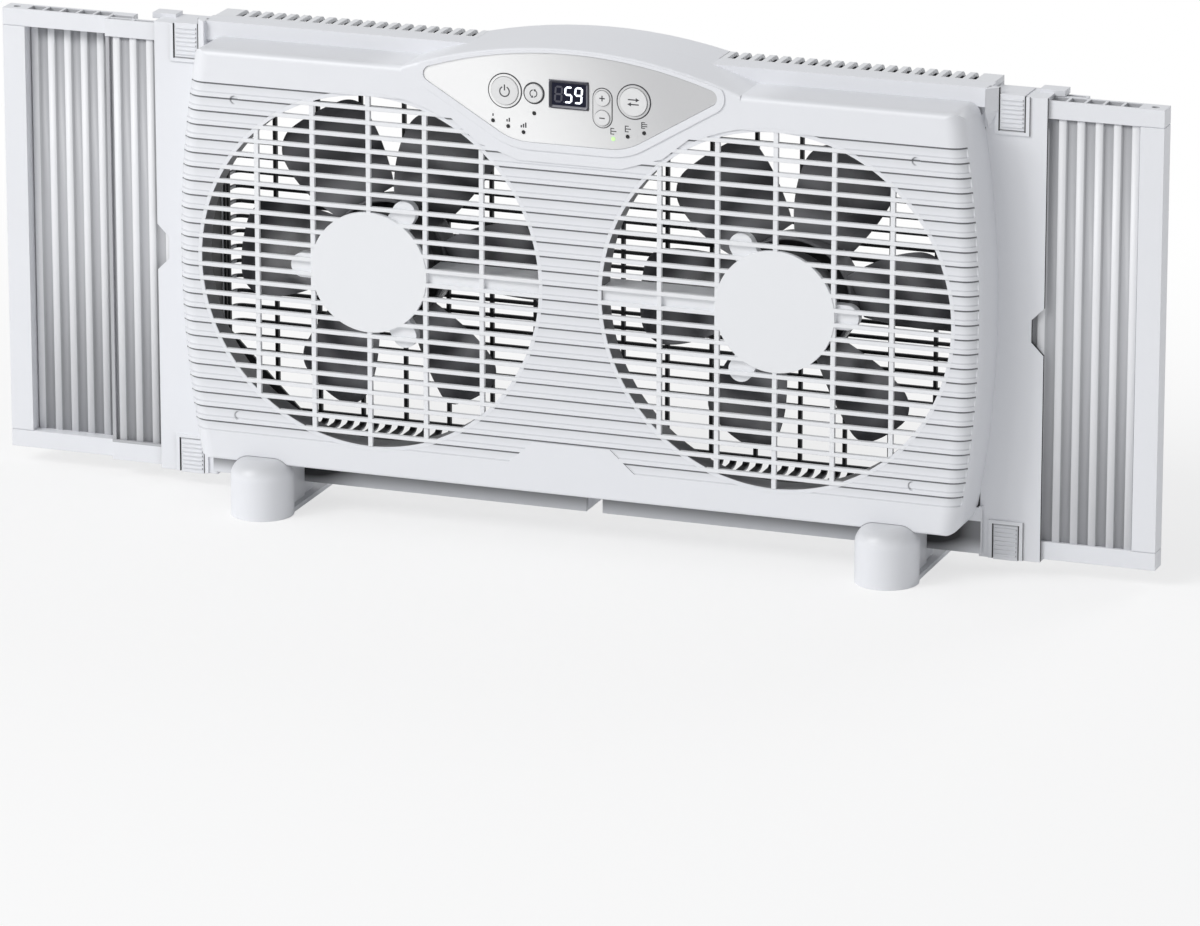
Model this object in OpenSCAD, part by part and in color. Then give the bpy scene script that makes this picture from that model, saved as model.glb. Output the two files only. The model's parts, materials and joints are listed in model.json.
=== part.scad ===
// Twin window fan with telescoping side panels.
// X runs to the right, Y to the back and Z up. Everything is drawn about the
// middle of the housing, with Y = 0 on the front of the side plates and Z = 0
// at their lower edge. The last lines move it over the middle of its feet.

/* [Fan body] */
// Width over the two side plates
body_w = 600; // [592:2:640]
// Height of the side plates
body_h = 300; // [296:2:320]
// Depth of the side plates, front face to back face
plate_d = 25; // [24.8:0.2:30]
// Thickness of moulded walls
wall = 2.4; // [2:0.1:2.8]
// Thickness of the side plate's front skin
skin = 2; // [1.6:0.1:2]
// Width of each side pocket, from the fan bay to the plate's edge
pocket_w = 37.7; // [36:0.1:38]
// Height of the plinth under the fan bay
plinth_h = 33.4; // [31:0.2:35]
// Height of the housing's top over the side plates
top_step = 4.5; // [4:0.1:8]
// Depth at which the rear grille meets the housing
seam_y = 11.5; // [9:0.5:14]
// Distance by which the side walls reach forward into the cover
wall_fwd = 8; // [4:1:12]
// Cut corner of the front opening that carries the cover screws
corner_cut = 75; // [66:1:78]
// Height of the finger notch in the side plate's edge
notch_h = 30.5; // [24:0.5:36]
// Depth of the finger notch
notch_d = 8; // [4:0.5:10]
// Overhang of the rear top edge beyond the side plate
top_over = 7; // [4:0.5:8]
// Distance of the cover screws from the side plate's edge
screw_in = 72; // [66:1:76]
// Height of the lower cover screws over the cover's lower edge
screw_low = 29.9; // [26:0.1:34]
// Drop of the upper cover screws below the cover's upper edge
screw_drop = 32.4; // [28:0.1:36]
// Reach of the cover screws into their bosses
screw_reach = 18; // [14:1:20]
// Half width of the raised cap where it leaves the housing's top
cap_half = 81.5; // [78:0.5:84]
// Height of the raised cap over the housing's top
cap_rise = 9.5; // [8:0.1:9.5]
// Width of the notch in the plinth's lower edge
notch_w = 11; // [8:0.5:16]
// Height of that notch
notch_top = 12; // [8:0.5:16]
// Distance of that notch from the middle
notch_x = 3; // [-10:0.5:10]
// Gap between fixed pieces that are not face to face
gap = 0.3; // [0.2:0.05:0.4]

/* [Front cover] */
// Depth of the cover in front of the side plates
cover_d = 39.6; // [38:0.2:44]
// Distance from the cover's widest point to the side plate's edge
cover_in = 30; // [28:1:32]
// Bow of the cover's long sides
cover_bow = 13; // [8:1:15]
// Lower edge of the cover
cover_low = 23.5; // [22:0.5:25]
// Drop of the cover's top below the side plate's top
cover_drop = 5; // [4:0.5:6]
// Radius of the cover's front edges at its sides
edge_r = 12; // [8:0.5:13]
// Radius of the cover's upper front edge
edge_top = 4; // [3:0.5:6]
// Radius of the cover's lower front edge
edge_low = 1.5; // [1:0.1:2.4]
// Radius of the cover's corners seen from the front
corner_r = 9; // [6:0.5:10]
// Half width of the hood over the controls
hood_half = 113; // [108:1:118]
// Height of the hood over the cover's top
hood_rise = 20; // [19:0.5:22]
// Radius of the hood's front edge
hood_edge = 2.2; // [1.6:0.1:2.4]
// Pitch of the horizontal ribs and bars
rib_pitch = 9.35; // [9:0.05:9.4]
// Number of horizontal ribs
rib_count = 26; // [22:2:26]
// Height of each rib
rib_t = 2.5; // [1.8:0.1:3]
// Depth of the fields between the ribs
rib_relief = 0.8; // [0.5:0.1:1.2]
// Distance to which the fields run back round the cover's sides
field_back = 6; // [4:0.5:8]

/* [Fan openings] */
// Radius of each fan opening
fan_r = 115.5; // [112:0.5:117]
// Distance between the two fan axes
fan_pitch = 273; // [266:1:276]
// Drop of the fan axes below the middle of the cover
fan_drop = 1.25; // [0:0.25:2.5]
// Thickness of the ring round each opening
collar_t = 2.5; // [2:0.1:3]
// Depth of the ring round each opening
collar_d = 16; // [12:0.5:20]
// Depth of the guard's bars
bar_d = 3; // [2.5:0.1:3.6]
// Pitch of the upright bars
bar_pitch = 38.4; // [36:0.2:40]
// Width of the upright bars
bar_w = 3; // [2:0.1:4]
// Radius of the plain disc in the middle of each guard
hub_r = 39.5; // [38:0.5:42]
// Height of the wire duct from the hub to the middle
duct_h = 9.4; // [7:0.2:12]
// Depth of the wire duct
duct_d = 22; // [16:1:24]

/* [Impellers] */
// Radius at the blade tips
blade_r = 105; // [100:0.5:108]
// Number of blades
blade_count = 6; // [3:1:7]
// Widest part of a blade
blade_w = 57; // [50:1:60]
// Width of a blade at its root
blade_root = 33; // [24:1:36]
// Distance by which the root lies behind the blade's middle
blade_skew = 2.5; // [0:0.5:4]
// Radius of the corners of a blade's tip
blade_corner = 14; // [8:1:18]
// Pitch of the blades in degrees
blade_angle = 28; // [20:1:32]
// Radius of the blades' camber
blade_camber = 90; // [70:5:140]
// Thickness of the blades
blade_t = 2; // [1.6:0.1:2.6]
// Distance of the blades' middle behind the side plate's front
blade_y = 1; // [0:0.5:3]
// Turn of the left impeller as shown, in degrees
left_turn = 57.5; // [0:0.5:59]
// Turn of the right impeller as shown, in degrees
right_turn = 53.5; // [0:0.5:59]
// Radius of the impeller's hub
cup_r = 40.5; // [36:0.5:42]
// Length of the impeller's hub
cup_d = 22; // [18:1:24]

/* [Motors] */
// Radius of the motor can
can_r = 33; // [30:0.5:33]
// Length of the motor can
can_d = 27; // [25:0.5:28]
// Thickness of the motor can
can_t = 1.5; // [1:0.1:2]
// Radius of the motor shaft
shaft_r = 4; // [3:0.1:5]
// Radial running clearance of the shaft in its bearings
run_fit = 0.05; // [0.02:0.01:0.1]
// Outer radius of the bearings
bearing_r = 8; // [7.5:0.1:9]
// Length of a bearing
bearing_d = 5; // [4:0.5:6]
// Radius of the rotor
rotor_r = 18; // [15:0.5:20]
// Air gap between rotor and stator
air_gap = 0.6; // [0.4:0.1:1]
// Number of stator slots
slot_count = 12; // [8:1:16]
// Radius of the circle that the motor screws lie on
ear_r = 46.5; // [44:0.5:50]
// Half width of a mounting ear
ear_w = 8; // [7:0.5:9]
// Radius of the motor screws
screw_r = 1.5; // [1.2:0.1:1.8]

/* [Rear grille] */
// Distance of the rear face behind the side plate's front
back_y = 38; // [36:0.5:42]
// Radius of the rear grille's edges
back_r = 7; // [4:0.5:8]
// Height of each rear slat
slat_t = 2; // [1.6:0.1:2.6]
// Pitch of the rear slats
slat_pitch = 10.05; // [9:0.05:10.5]
// Gap under the lowest rear slat
slat_low = 5; // [4:0.5:8]
// Pitch of the upright rear ribs
post_pitch = 30; // [26:1:34]
// Distance of the first upright rear rib from the middle
post_shift = 8.5; // [0:0.5:12]
// Pitch of the slots in the top and bottom of the grille
slot_pitch = 8.8; // [8:0.2:10]
// Width of those slots
slot_w = 5; // [4:0.2:5.6]
// Height of the solid band at the top and bottom of the rear face
band_h = 8; // [7.5:0.5:10]

/* [Controls] */
// Height of the control plate's top over the side plates
plate_top = 12.2; // [11.5:0.1:12.6]
// Radius of the control plate's upper edge
plate_arc = 300; // [280:5:330]
// Height of the control plate
ctrl_h = 58.7; // [56:0.5:60]
// Distance of the control plate's tips from the middle
tip_x = 93; // [91:0.5:95]
// Radius of the control plate's tips
tip_r = 5; // [4:0.2:5.4]
// Width of the raised rim round the control plate
rim_w = 5; // [4:0.5:6]
// Thickness of the control plate
ctrl_t = 1.6; // [1.2:0.1:1.7]
// Height of the button row below the side plate's top
row_drop = 14.7; // [14:0.1:16]
// Radius of the two large buttons
big_r = 9; // [8:0.1:9.4]
// Radius of the small round button
small_r = 6; // [5:0.1:6.4]
// Radius of the plus and minus buttons
pm_r = 4.9; // [4.2:0.1:5]
// Distance between the plus and minus buttons
pm_pitch = 12.7; // [12.5:0.1:13.5]
// Travel of a button
press = 1; // [0.6:0.1:1]
// Width of the display's frame
disp_w = 26.7; // [24:0.1:28]
// Height of the display's frame
disp_h = 18.3; // [16:0.1:20]
// Width of the display frame's edge
disp_edge = 2; // [1.6:0.1:2.4]
// Radius of the indicator lights
lamp_r = 1.2; // [0.9:0.1:1.4]
// Width of the control board
board_w = 126; // [122:1:130]
// Height of the control board
board_h = 34; // [32:1:36]
// Thickness of the control board
board_t = 1.6; // [1.2:0.1:2]
// Distance of the upper board screws from the board's ends
board_hole = 5; // [4:0.5:6]
// Distance of the lower board screws from the board's ends
board_hole_low = 29; // [28:0.5:30]

/* [Side panels] */
// Width of each inner panel stage
inner_w = 56; // [52:1:56]
// Depth of each inner panel stage
inner_d = 6.4; // [5.6:0.1:6.4]
// Width of each outer panel stage
outer_w = 90; // [86:1:94]
// Depth of each outer panel stage
outer_d = 13.5; // [12:0.1:13.5]
// Depth of the outer stage's rail where it passes the inner stage
tail_d = 7; // [6:0.2:8]
// Height of the panel rails
rail_h = 11.4; // [10:0.2:13]
// Extra height of the inner stage's lower rail
rail_extra = 2; // [0:0.5:3]
// Width of the end bar
end_w = 15.5; // [13:0.5:18]
// Wall between the open cells in the rails
cell_wall = 1.6; // [1.2:0.1:2]
// Number of open cells in each outer rail
cell_count = 5; // [3:1:6]
// Radius of the hole in the top of each end bar
end_hole = 2.6; // [2:0.1:3]
// Depth of that hole
end_hole_d = 10; // [6:1:11]
// Pitch of the corrugations
wave_pitch = 11.65; // [10:0.05:13]
// Thickness of the corrugated sheets
sheet_t = 1.2; // [1:0.1:1.6]
// Reach of the left panel beyond the side plate, as shown
left_reach = 111; // [105:1:115]
// Reach of the left inner stage beyond the side plate, as shown
left_step = 35.7; // [33:0.5:37]
// Reach of the right panel beyond the side plate, as shown
right_reach = 74.4; // [70:0.2:75]
// Clearance round the sliding stages
slide_gap = 0.3; // [0.2:0.05:0.3]

/* [Clips] */
// Width of each corner clip
clip_w = 16; // [14:0.5:17]
// Height of each corner clip
clip_h = 22; // [18:0.5:24]
// Distance of the clip's middle from the side plate's edge
clip_in = 22.5; // [21:0.5:23]
// Depth of the clip's top leg
clip_leg = 22; // [16:0.5:22]
// Thickness of the tongues that guide a clip
tongue = 1; // [0.8:0.1:1.2]
// Travel of a clip
clip_travel = 4.5; // [3:0.5:5]
// Number of grip ridges on a clip
grip_count = 7; // [4:1:9]

/* [Feet] */
// Distance of each foot from the middle
foot_x = 212; // [190:1:224]
// Radius of the foot's round front
drum_r = 20.5; // [18:0.5:22]
// Radius of the upper edge of the foot's round front
foot_round = 12; // [10:0.5:14]
// Height of the foot's round front over the cover's lower edge
foot_rise = 4; // [3:0.5:5]
// Height of the feet below the side plates
foot_h = 10; // [8:0.5:14]
// Thickness of the foot's base bar
foot_t = 3; // [2.4:0.1:4]
// Width of the foot's base bar
foot_w = 37; // [30:0.5:38]
// Distance to which the base bar runs behind the side plate's front
foot_back = 58; // [50:1:70]
// Outer radius of the cord gland
gland_r = 7; // [6:0.5:8]
// Radius of the cord gland's bore
gland_bore = 3.6; // [3:0.1:4]
// Length of the cord gland behind the plinth
gland_l = 9; // [8:0.5:12]
// Distance of the cord gland from the end of the fan bay
gland_in = 40; // [34:1:46]
// Length of the foot screws
foot_screw_l = 19; // [17:0.5:21]
// Distance of the foot screws behind the side plate's front
foot_screw_y = 8; // [7.5:0.5:9]

/* [Hidden] */
$fn = 96;
eps = 0.01;

half_w = body_w / 2;
bay_half = half_w - pocket_w;
box_in = bay_half - wall;
pocket_wall = 2;
top_z = body_h + top_step;
cover_half = half_w - cover_in;
cover_top = body_h - cover_drop;
cover_mid = (cover_top + cover_low) / 2;
cover_hh = (cover_top - cover_low) / 2;
bow_r = (cover_hh * cover_hh + cover_bow * cover_bow) / (2 * cover_bow);
lip_y = -4;
plinth_y = -3;
plinth_low = 2.5;
hood_r = (hood_half * hood_half + hood_rise * hood_rise) / (2 * hood_rise);
hood_cz = cover_top + hood_rise - hood_r;
fan_z = cover_mid - fan_drop;
cap_top = top_z + cap_rise;
cap_r = (cap_half * cap_half + cap_rise * cap_rise) / (2 * cap_rise);
cap_back = back_y - 6;
face_y = -cover_d;
rib_y = face_y - rib_relief;
inner_y = face_y + wall;
fan_x = fan_pitch / 2;
hole_r = fan_r + collar_t;
collar_y = face_y + collar_d;
bar_y = rib_y + bar_d;
bar_heights = [for (k = [0 : rib_count - 1]) (k - (rib_count - 1) / 2) * rib_pitch];
boss_x = half_w - screw_in;
boss_z = [cover_low + screw_low, cover_top - screw_drop];

// motor stations along the axis
can_y = bar_y + gap;
can_end = can_y + can_d;
ear_y = can_y + 6;
ear_t = 1.6;
rotor_y0 = can_y + bearing_d + 1.2;
rotor_y1 = can_end - bearing_d - 1.2;
cup_y = can_end + 2;
cup_end = cup_y + cup_d;
shaft_end = cup_end + 5;
slip = 0.02;
blade_room = blade_w / 2 * sin(blade_angle) + 8;

// control stations
ctrl_y = rib_y;
ctrl_back = ctrl_y + ctrl_t;
row_z = body_h - row_drop;
pm_x = 22.2;
pm_z = row_z - 5.7;
big_x = 43;
small_x = -23.6;
disp_x = -0.25;
disp_z = body_h - 13.95;
cap_y = rib_y - 1.1;
flange_y = inner_y + gap;
board_y = inner_y + 4.8;
board_z = body_h - 19;
switches = [
    [-big_x, row_z], [big_x, row_z], [small_x, row_z],
    [pm_x, pm_z + pm_pitch / 2], [pm_x, pm_z - pm_pitch / 2],
];
board_holes = [
    [board_w / 2 - board_hole, board_z + 8],
    [board_w / 2 - board_hole_low, board_z - board_h / 2 + 4],
];
lamps = [
    [-51.2, 34.6], [-41, 37.5], [-30.7, 40.5], [-23.5, 27.7], [29.3, 39.7], [38.9, 37.4], [49.8, 34.2],
];

// panel stations
low_z = 1.5;
panel_z0 = low_z + slide_gap;
panel_z1 = body_h - 1.5 - slide_gap;
front_y = skin + slide_gap;
pocket_back = front_y + inner_d + slide_gap + outer_d + slide_gap;
left_outer_y = front_y + inner_d + slide_gap;
right_inner_y = front_y + outer_d + slide_gap;
pocket_room = bay_half + pocket_wall + slide_gap;

// clip stations
clip_x = half_w - clip_in;
clip_y0 = -0.7;
clip_y1 = skin - slide_gap;
ledge_y = -1.2;
ledge_w = 3;
tongue_y = 0;
tongue_d = 1;
clip_z0 = body_h - clip_h;

// screw and gland stations
foot_tip = foot_screw_l - foot_h + 3.5;
gland_x = bay_half - gland_in;
gland_z = (plinth_low + plinth_h - wall) / 2;

// rear grille stations
rear_z0 = plinth_h - wall;
rear_z1 = top_z;
win_z0 = rear_z0 + band_h;
win_z1 = rear_z1 - band_h;
slat_n = floor((win_z1 - win_z0 - slat_low - slat_t) / slat_pitch);
slat_z0 = win_z0 + slat_low;
slat_half = bay_half - gap - back_r;
post_low = -floor((slat_half + post_shift - 3) / post_pitch);
post_high = floor((slat_half - post_shift - 3) / post_pitch);
slot_n = floor((bay_half - 12) / slot_pitch);

// overall box, used to place the origin under its middle
box_x0 = -half_w - left_reach;
box_x1 = half_w + right_reach;
box_y0 = face_y - drum_r;
box_y1 = foot_back;
shift = [-(box_x0 + box_x1) / 2, -(box_y0 + box_y1) / 2, foot_h];

// ---- helpers -------------------------------------------------------------

// Box between two corners
module box(x0, x1, y0, y1, z0, z1) {
    translate([x0, y0, z0]) cube([x1 - x0, y1 - y0, z1 - z0]);
}

// Cylinder along Y
module rod(x, z, r, y0, y1) {
    translate([x, y0, z]) rotate([-90, 0, 0]) cylinder(r = r, h = y1 - y0);
}

// Outline in X and Z, drawn out along Y
module along_y(y0, y1) {
    translate([0, y1, 0]) rotate([90, 0, 0]) linear_extrude(height = y1 - y0) children();
}

// Outline in Y and Z, drawn out along X
module along_x(x0, x1) {
    translate([x0, 0, 0]) rotate([90, 0, 90]) linear_extrude(height = x1 - x0) children();
}

// Flat disc facing the front with a rounded front edge, its back at Y = back
module round_disc(r, depth, e, back) {
    translate([0, back, 0]) rotate([90, 0, 0]) rotate_extrude($fn = 360) {
        square([r - e, depth + back]);
        square([r, depth + back - e]);
        translate([r - e, depth + back - e]) circle(r = e);
    }
}

// The left side's pieces are the right side's, mirrored
module side(s) {
    if (s < 0) mirror([1, 0, 0]) children();
    else children();
}

// ---- front cover ---------------------------------------------------------

// Profile of the cover's top and bottom, taken in by g
module cover_profile(g, front, back) {
    el = max(edge_low - g, 0.3);
    eh = max(edge_top - g, 0.3);
    zl = cover_low + g;
    zh = cover_top - g;
    translate([front, zl + el]) square([back - front, zh - eh - zl - el]);
    translate([front + el, zl]) square([back - front - el, el + 1]);
    translate([front + eh, zh - eh - 1]) square([back - front - eh, eh + 1]);
    translate([front + el, zl + el]) circle(r = el);
    translate([front + eh, zh - eh]) circle(r = eh);
}

// The cover's bowed block with its front at Y = front, taken in by g
module cover_block(g, front, back) {
    intersection() {
        translate([cover_half - bow_r, 0, cover_mid]) round_disc(bow_r - g, -front, edge_r - g, back);
        translate([bow_r - cover_half, 0, cover_mid]) round_disc(bow_r - g, -front, edge_r - g, back);
        along_x(-half_w, half_w) cover_profile(g, front, back);
    }
}

// What is cut away outside the cover's lower right corner
module corner_waste(r) {
    zc = cover_low + r;
    xc = cover_half - bow_r + sqrt((bow_r - r) * (bow_r - r) - (zc - cover_mid) * (zc - cover_mid));
    a = asin((zc - cover_mid) / (bow_r - r));
    difference() {
        along_y(rib_y - 1, 1) polygon([
            [xc, zc - r - 2], [xc, zc],
            [xc + (r + 6) * cos(a), zc + (r + 6) * sin(a)], [xc + r + 6, zc - r - 2],
        ]);
        rod(xc, zc, r, rib_y - 2, 2);
    }
}

// The hood over the controls, taken in by g, its front at Y = -front
module hood_block(g, front, back) {
    intersection() {
        translate([0, 0, hood_cz]) round_disc(hood_r - g, front, hood_edge, back);
        box(-hood_half, hood_half, -front, back, cover_top - 30, cover_top + hood_rise + 1);
    }
}

// Control plate outline, grown by g
module ctrl_outline(g) {
    z_top = body_h + plate_top;
    intersection() {
        translate([0, z_top - plate_arc]) circle(r = plate_arc + g, $fn = 360);
        hull() {
            for (s = [-1, 1]) {
                translate([s * tip_x, body_h - 8]) circle(r = tip_r + g, $fn = 32);
                translate([s * 27, z_top - ctrl_h + 40]) circle(r = 40 + g, $fn = 64);
            }
        }
    }
}

// Fields between the ribs, as far as they run round the cover's sides
module rib_fields() {
    along_y(rib_y - 1, rib_y + field_back) difference() {
        for (k = [0 : rib_count - 2]) {
            translate([-half_w, fan_z + bar_heights[k] + rib_t / 2]) square([body_w, rib_pitch - rib_t]);
        }
        smooth_field();
        bare_field();
    }
}

// Smooth field round the controls
module smooth_field() {
    polygon([
        [-hood_half - 4, body_h + 20], [-hood_half - 4, cover_top], [-62, body_h - 50], [-34, body_h - 59],
        [34, body_h - 59], [62, body_h - 50], [hood_half + 4, cover_top], [hood_half + 4, body_h + 20],
    ]);
}

// Bare field at the middle of the lower edge
module bare_field() {
    polygon([[-25, 57], [27, 57], [45, 41], [45, cover_low - 1], [-43, cover_low - 1], [-43, 41]]);
}

module front_cover() {
    color("gainsboro") difference() {
        union() {
            difference() {
                union() {
                    cover_block(rib_relief, face_y, 0);
                    difference() {
                        cover_block(0, rib_y, 0);
                        rib_fields();
                    }
                    hood_block(0, -rib_y, lip_y);
                }
                cover_block(wall, inner_y, 1);
                hood_block(wall, -inner_y, 1);
                box(-half_w, half_w, lip_y, 1, cover_top - 8, top_z);
                box(-half_w, half_w, plinth_y, 1, 0, plinth_h);
            }
            // raised rim round the controls
            along_y(rib_y - 0.8, rib_y + 0.5) intersection() {
                ctrl_outline(rim_w);
                translate([0, hood_cz]) circle(r = hood_r - hood_edge + 1.2, $fn = 360);
            }
            // bosses for the cover screws
            for (s = [-1, 1]) {
                for (z = boss_z) {
                    rod(s * boss_x, z, 4.5, inner_y - 0.5, 0);
                }
            }
            // bosses for the control board
            for (s = [-1, 1]) {
                for (p = board_holes) {
                    rod(s * p[0], p[1], 3.2, inner_y - 0.5, board_y);
                }
            }
        }
        // fan openings
        for (s = [-1, 1]) {
            rod(s * fan_x, fan_z, hole_r, face_y - 5, inner_y + 1);
        }
        // recess for the control plate, with the buttons' holes
        along_y(face_y - 5, ctrl_back) ctrl_outline(0.15);
        button_holes(gap);
        // screw pilots
        for (s = [-1, 1]) {
            for (z = boss_z) {
                rod(s * boss_x, z, screw_r + 0.1, -screw_reach - 2, 1);
            }
            for (p = board_holes) {
                rod(s * p[0], p[1], 1.1, inner_y + 0.4, board_y + 1);
            }
        }
        // marks over the screw bosses, hollows for the feet, and round corners
        for (s = [-1, 1]) {
            for (z = boss_z) {
                rod(s * boss_x, z + 0.6, 3, rib_y - 1, face_y + 0.4);
            }
            translate([s * foot_x, 0, 0]) foot_front(gap);
            side(s) corner_waste(corner_r);
            side(s) translate([0, 0, 2 * cover_mid]) mirror([0, 0, 1]) corner_waste(corner_r);
        }
    }
}

// Turn that sets an ear at each third of a circle, mirrored for the left fan
module ears(s) {
    for (a = [0 : 120 : 240]) {
        rotate([0, -a + (s < 0 ? 180 : 0), 0]) children();
    }
}

// One fan's flat guard about its own axis: bars and plain disc. The bars' ends
// lie on the ring round the opening and meet the cover's ribs.
module guard() {
    intersection() {
        union() {
            rod(0, 0, fan_r, rib_y, bar_y);
            rod(0, 0, hole_r - slip, rib_y, face_y);
        }
        for (z = bar_heights) {
            if (abs(z) < fan_r) box(-hole_r, hole_r, rib_y, bar_y, z - rib_t / 2, z + rib_t / 2);
        }
    }
    intersection() {
        rod(0, 0, fan_r, rib_y, bar_y);
        for (k = [-2 : 2]) {
            x = k * bar_pitch - bar_w / 2;
            box(x, x + bar_w, rib_y + 0.5, rib_y + 0.5 + bar_d, -fan_r - 5, fan_r + 5);
        }
    }
    rod(0, 0, hub_r, rib_y, bar_y);
}

module left_guard() {
    color("gainsboro") translate([-fan_x, 0, fan_z]) guard();
}

module right_guard() {
    color("gainsboro") translate([fan_x, 0, fan_z]) guard();
}

// Ring round one opening, with the gap through which the duct passes. The
// ribs that only cross the ring itself stand on it.
module collar(s) {
    difference() {
        union() {
            rod(0, 0, hole_r, face_y, collar_y);
            intersection() {
                rod(0, 0, hole_r - slip, rib_y, face_y + 1);
                for (z = bar_heights) {
                    if (abs(z) >= fan_r) box(-fan_r, fan_r, rib_y, face_y + 1, z - rib_t / 2, z + rib_t / 2);
                }
            }
        }
        rod(0, 0, fan_r, rib_y - 1, collar_y + 1);
        side(-s) box(fan_r - 4, hole_r + 4, bar_y, collar_y + 1, -duct_h / 2 - gap, duct_h / 2 + gap);
    }
}

module left_collar() {
    color("gainsboro") translate([-fan_x, 0, fan_z]) collar(-1);
}

module right_collar() {
    color("gainsboro") translate([fan_x, 0, fan_z]) collar(1);
}

// Three ears behind the disc that carry the motor
module motor_mount(s) {
    difference() {
        union() {
            ears(s) box(can_r + 0.6, ear_r, bar_y, ear_y, -ear_w, ear_w);
            ears(s) rod(ear_r, 0, ear_w, bar_y, ear_y);
            rod(0, 0, hub_r - 0.5, bar_y, bar_y + 1.5);
        }
        rod(0, 0, can_r + 0.6, bar_y - 1, ear_y + 30);
        ears(s) rod(ear_r, 0, screw_r + 0.1, bar_y + 0.5, ear_y + 1);
    }
}

module left_motor_mount() {
    color("gainsboro") translate([-fan_x, 0, fan_z]) motor_mount(-1);
}

module right_motor_mount() {
    color("gainsboro") translate([fan_x, 0, fan_z]) motor_mount(1);
}

// Wire duct from the motor towards the middle of the fan, open at the back
module duct(s) {
    side(-s) difference() {
        union() {
            box(hub_r, fan_r, bar_y, bar_y + duct_d, -duct_h / 2, duct_h / 2);
            box(fan_r - 4, fan_x - 1.5, inner_y + gap, bar_y + duct_d, -duct_h / 2, duct_h / 2);
        }
        box(hub_r - 2, fan_x, inner_y + gap + 1.2, bar_y + duct_d + 1, -duct_h / 2 + 1.4, duct_h / 2 - 1.4);
    }
}

module left_duct() {
    color("gainsboro") translate([-fan_x, 0, fan_z]) duct(-1);
}

module right_duct() {
    color("gainsboro") translate([fan_x, 0, fan_z]) duct(1);
}

// ---- controls ------------------------------------------------------------

// Holes for the five buttons, wider than the caps by c
module button_holes(c) {
    rod(-big_x, row_z, big_r + c, face_y - 5, inner_y + 1);
    rod(big_x, row_z, big_r + c, face_y - 5, inner_y + 1);
    rod(small_x, row_z, small_r + c, face_y - 5, inner_y + 1);
    rod(pm_x, pm_z + pm_pitch / 2, pm_r + c, face_y - 5, inner_y + 1);
    rod(pm_x, pm_z - pm_pitch / 2, pm_r + c, face_y - 5, inner_y + 1);
}

// Capsule round the plus and minus buttons, grown by g
module capsule(g) {
    translate([pm_x, pm_z + pm_pitch / 2]) circle(r = pm_r + g);
    translate([pm_x, pm_z - pm_pitch / 2]) circle(r = pm_r + g);
    translate([pm_x - pm_r - g, pm_z - pm_pitch / 2]) square([2 * (pm_r + g), pm_pitch]);
}

module control_plate() {
    color("silver") difference() {
        union() {
            along_y(ctrl_y, ctrl_back) ctrl_outline(0);
            rod(-big_x, row_z, big_r + 1.7, ctrl_y - 0.5, ctrl_y + 0.5);
            rod(big_x, row_z, big_r + 1.7, ctrl_y - 0.5, ctrl_y + 0.5);
            along_y(ctrl_y - 0.4, ctrl_y + 0.5) capsule(1.2);
        }
        button_holes(gap);
        along_y(ctrl_y - 1, ctrl_back + 1) {
            translate([disp_x, disp_z]) square([disp_w, disp_h], center = true);
        }
        for (p = lamps) {
            rod(p[0], body_h - p[1], lamp_r + 0.05, ctrl_y - 1, ctrl_back + 1);
        }
    }
}

module display_frame() {
    color("dimgray") difference() {
        along_y(ctrl_y - 0.7, ctrl_back) translate([disp_x, disp_z]) square([disp_w, disp_h], center = true);
        display_pocket(0);
    }
}

// Opening of the display's frame
module display_pocket(c) {
    w = disp_w / 2 - disp_edge + c;
    h = disp_h / 2 - disp_edge + c;
    box(disp_x - w, disp_x + w, ctrl_y - 5, ctrl_back + 1, disp_z - h, disp_z + h);
}

module display_window() {
    color("midnightblue") intersection() {
        display_pocket(0);
        box(-50, 50, ctrl_y + 0.1, ctrl_back, 0, body_h + 20);
    }
}

module indicator_lights() {
    color("palegreen") for (p = lamps) {
        rod(p[0], body_h - p[1], lamp_r, ctrl_y - 0.3, ctrl_back);
    }
}

module control_board() {
    color("seagreen") difference() {
        union() {
            along_y(board_y, board_y + board_t) {
                translate([-board_w / 2, board_z - board_h / 2]) square([board_w, board_h - 2]);
            }
            // one switch behind each button
            for (p = switches) {
                box(p[0] - 3, p[0] + 3, board_y - 1.5, board_y, p[1] - 3, p[1] + 3);
            }
            box(-20, 4, board_y + board_t, board_y + board_t + 6, board_z - 12, board_z + 2);
        }
        for (s = [-1, 1]) {
            for (p = board_holes) {
                rod(s * p[0], p[1], 1.3, board_y - 1, board_y + board_t + 1);
            }
        }
    }
}

module board_screws() {
    color("darkgray") for (s = [-1, 1]) {
        for (p = board_holes) {
            rod(s * p[0], p[1], 1, inner_y + 0.6, board_y + board_t + 0.5);
            rod(s * p[0], p[1], 2.2, board_y + board_t, board_y + board_t + 1.6);
        }
    }
}

// A button: cap, keeping flange and stem
module button(x, z, r, fr) {
    rod(x, z, r, cap_y, flange_y + 0.2);
    rod(x, z, fr, flange_y, flange_y + 1);
    rod(x, z, 1.6, flange_y, board_y - 1.5 - press - 0.1);
}

module speed_button() {
    color("whitesmoke") button(-big_x, row_z, big_r, big_r + 1.2);
}

module mode_button() {
    color("whitesmoke") button(small_x, row_z, small_r, small_r + 1.2);
}

module plus_button() {
    color("whitesmoke") button(pm_x, pm_z + pm_pitch / 2, pm_r, pm_r + 0.9);
}

module minus_button() {
    color("whitesmoke") button(pm_x, pm_z - pm_pitch / 2, pm_r, pm_r + 0.9);
}

module airflow_button() {
    color("whitesmoke") button(big_x, row_z, big_r, big_r + 1.2);
}

// ---- housing -------------------------------------------------------------

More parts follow.
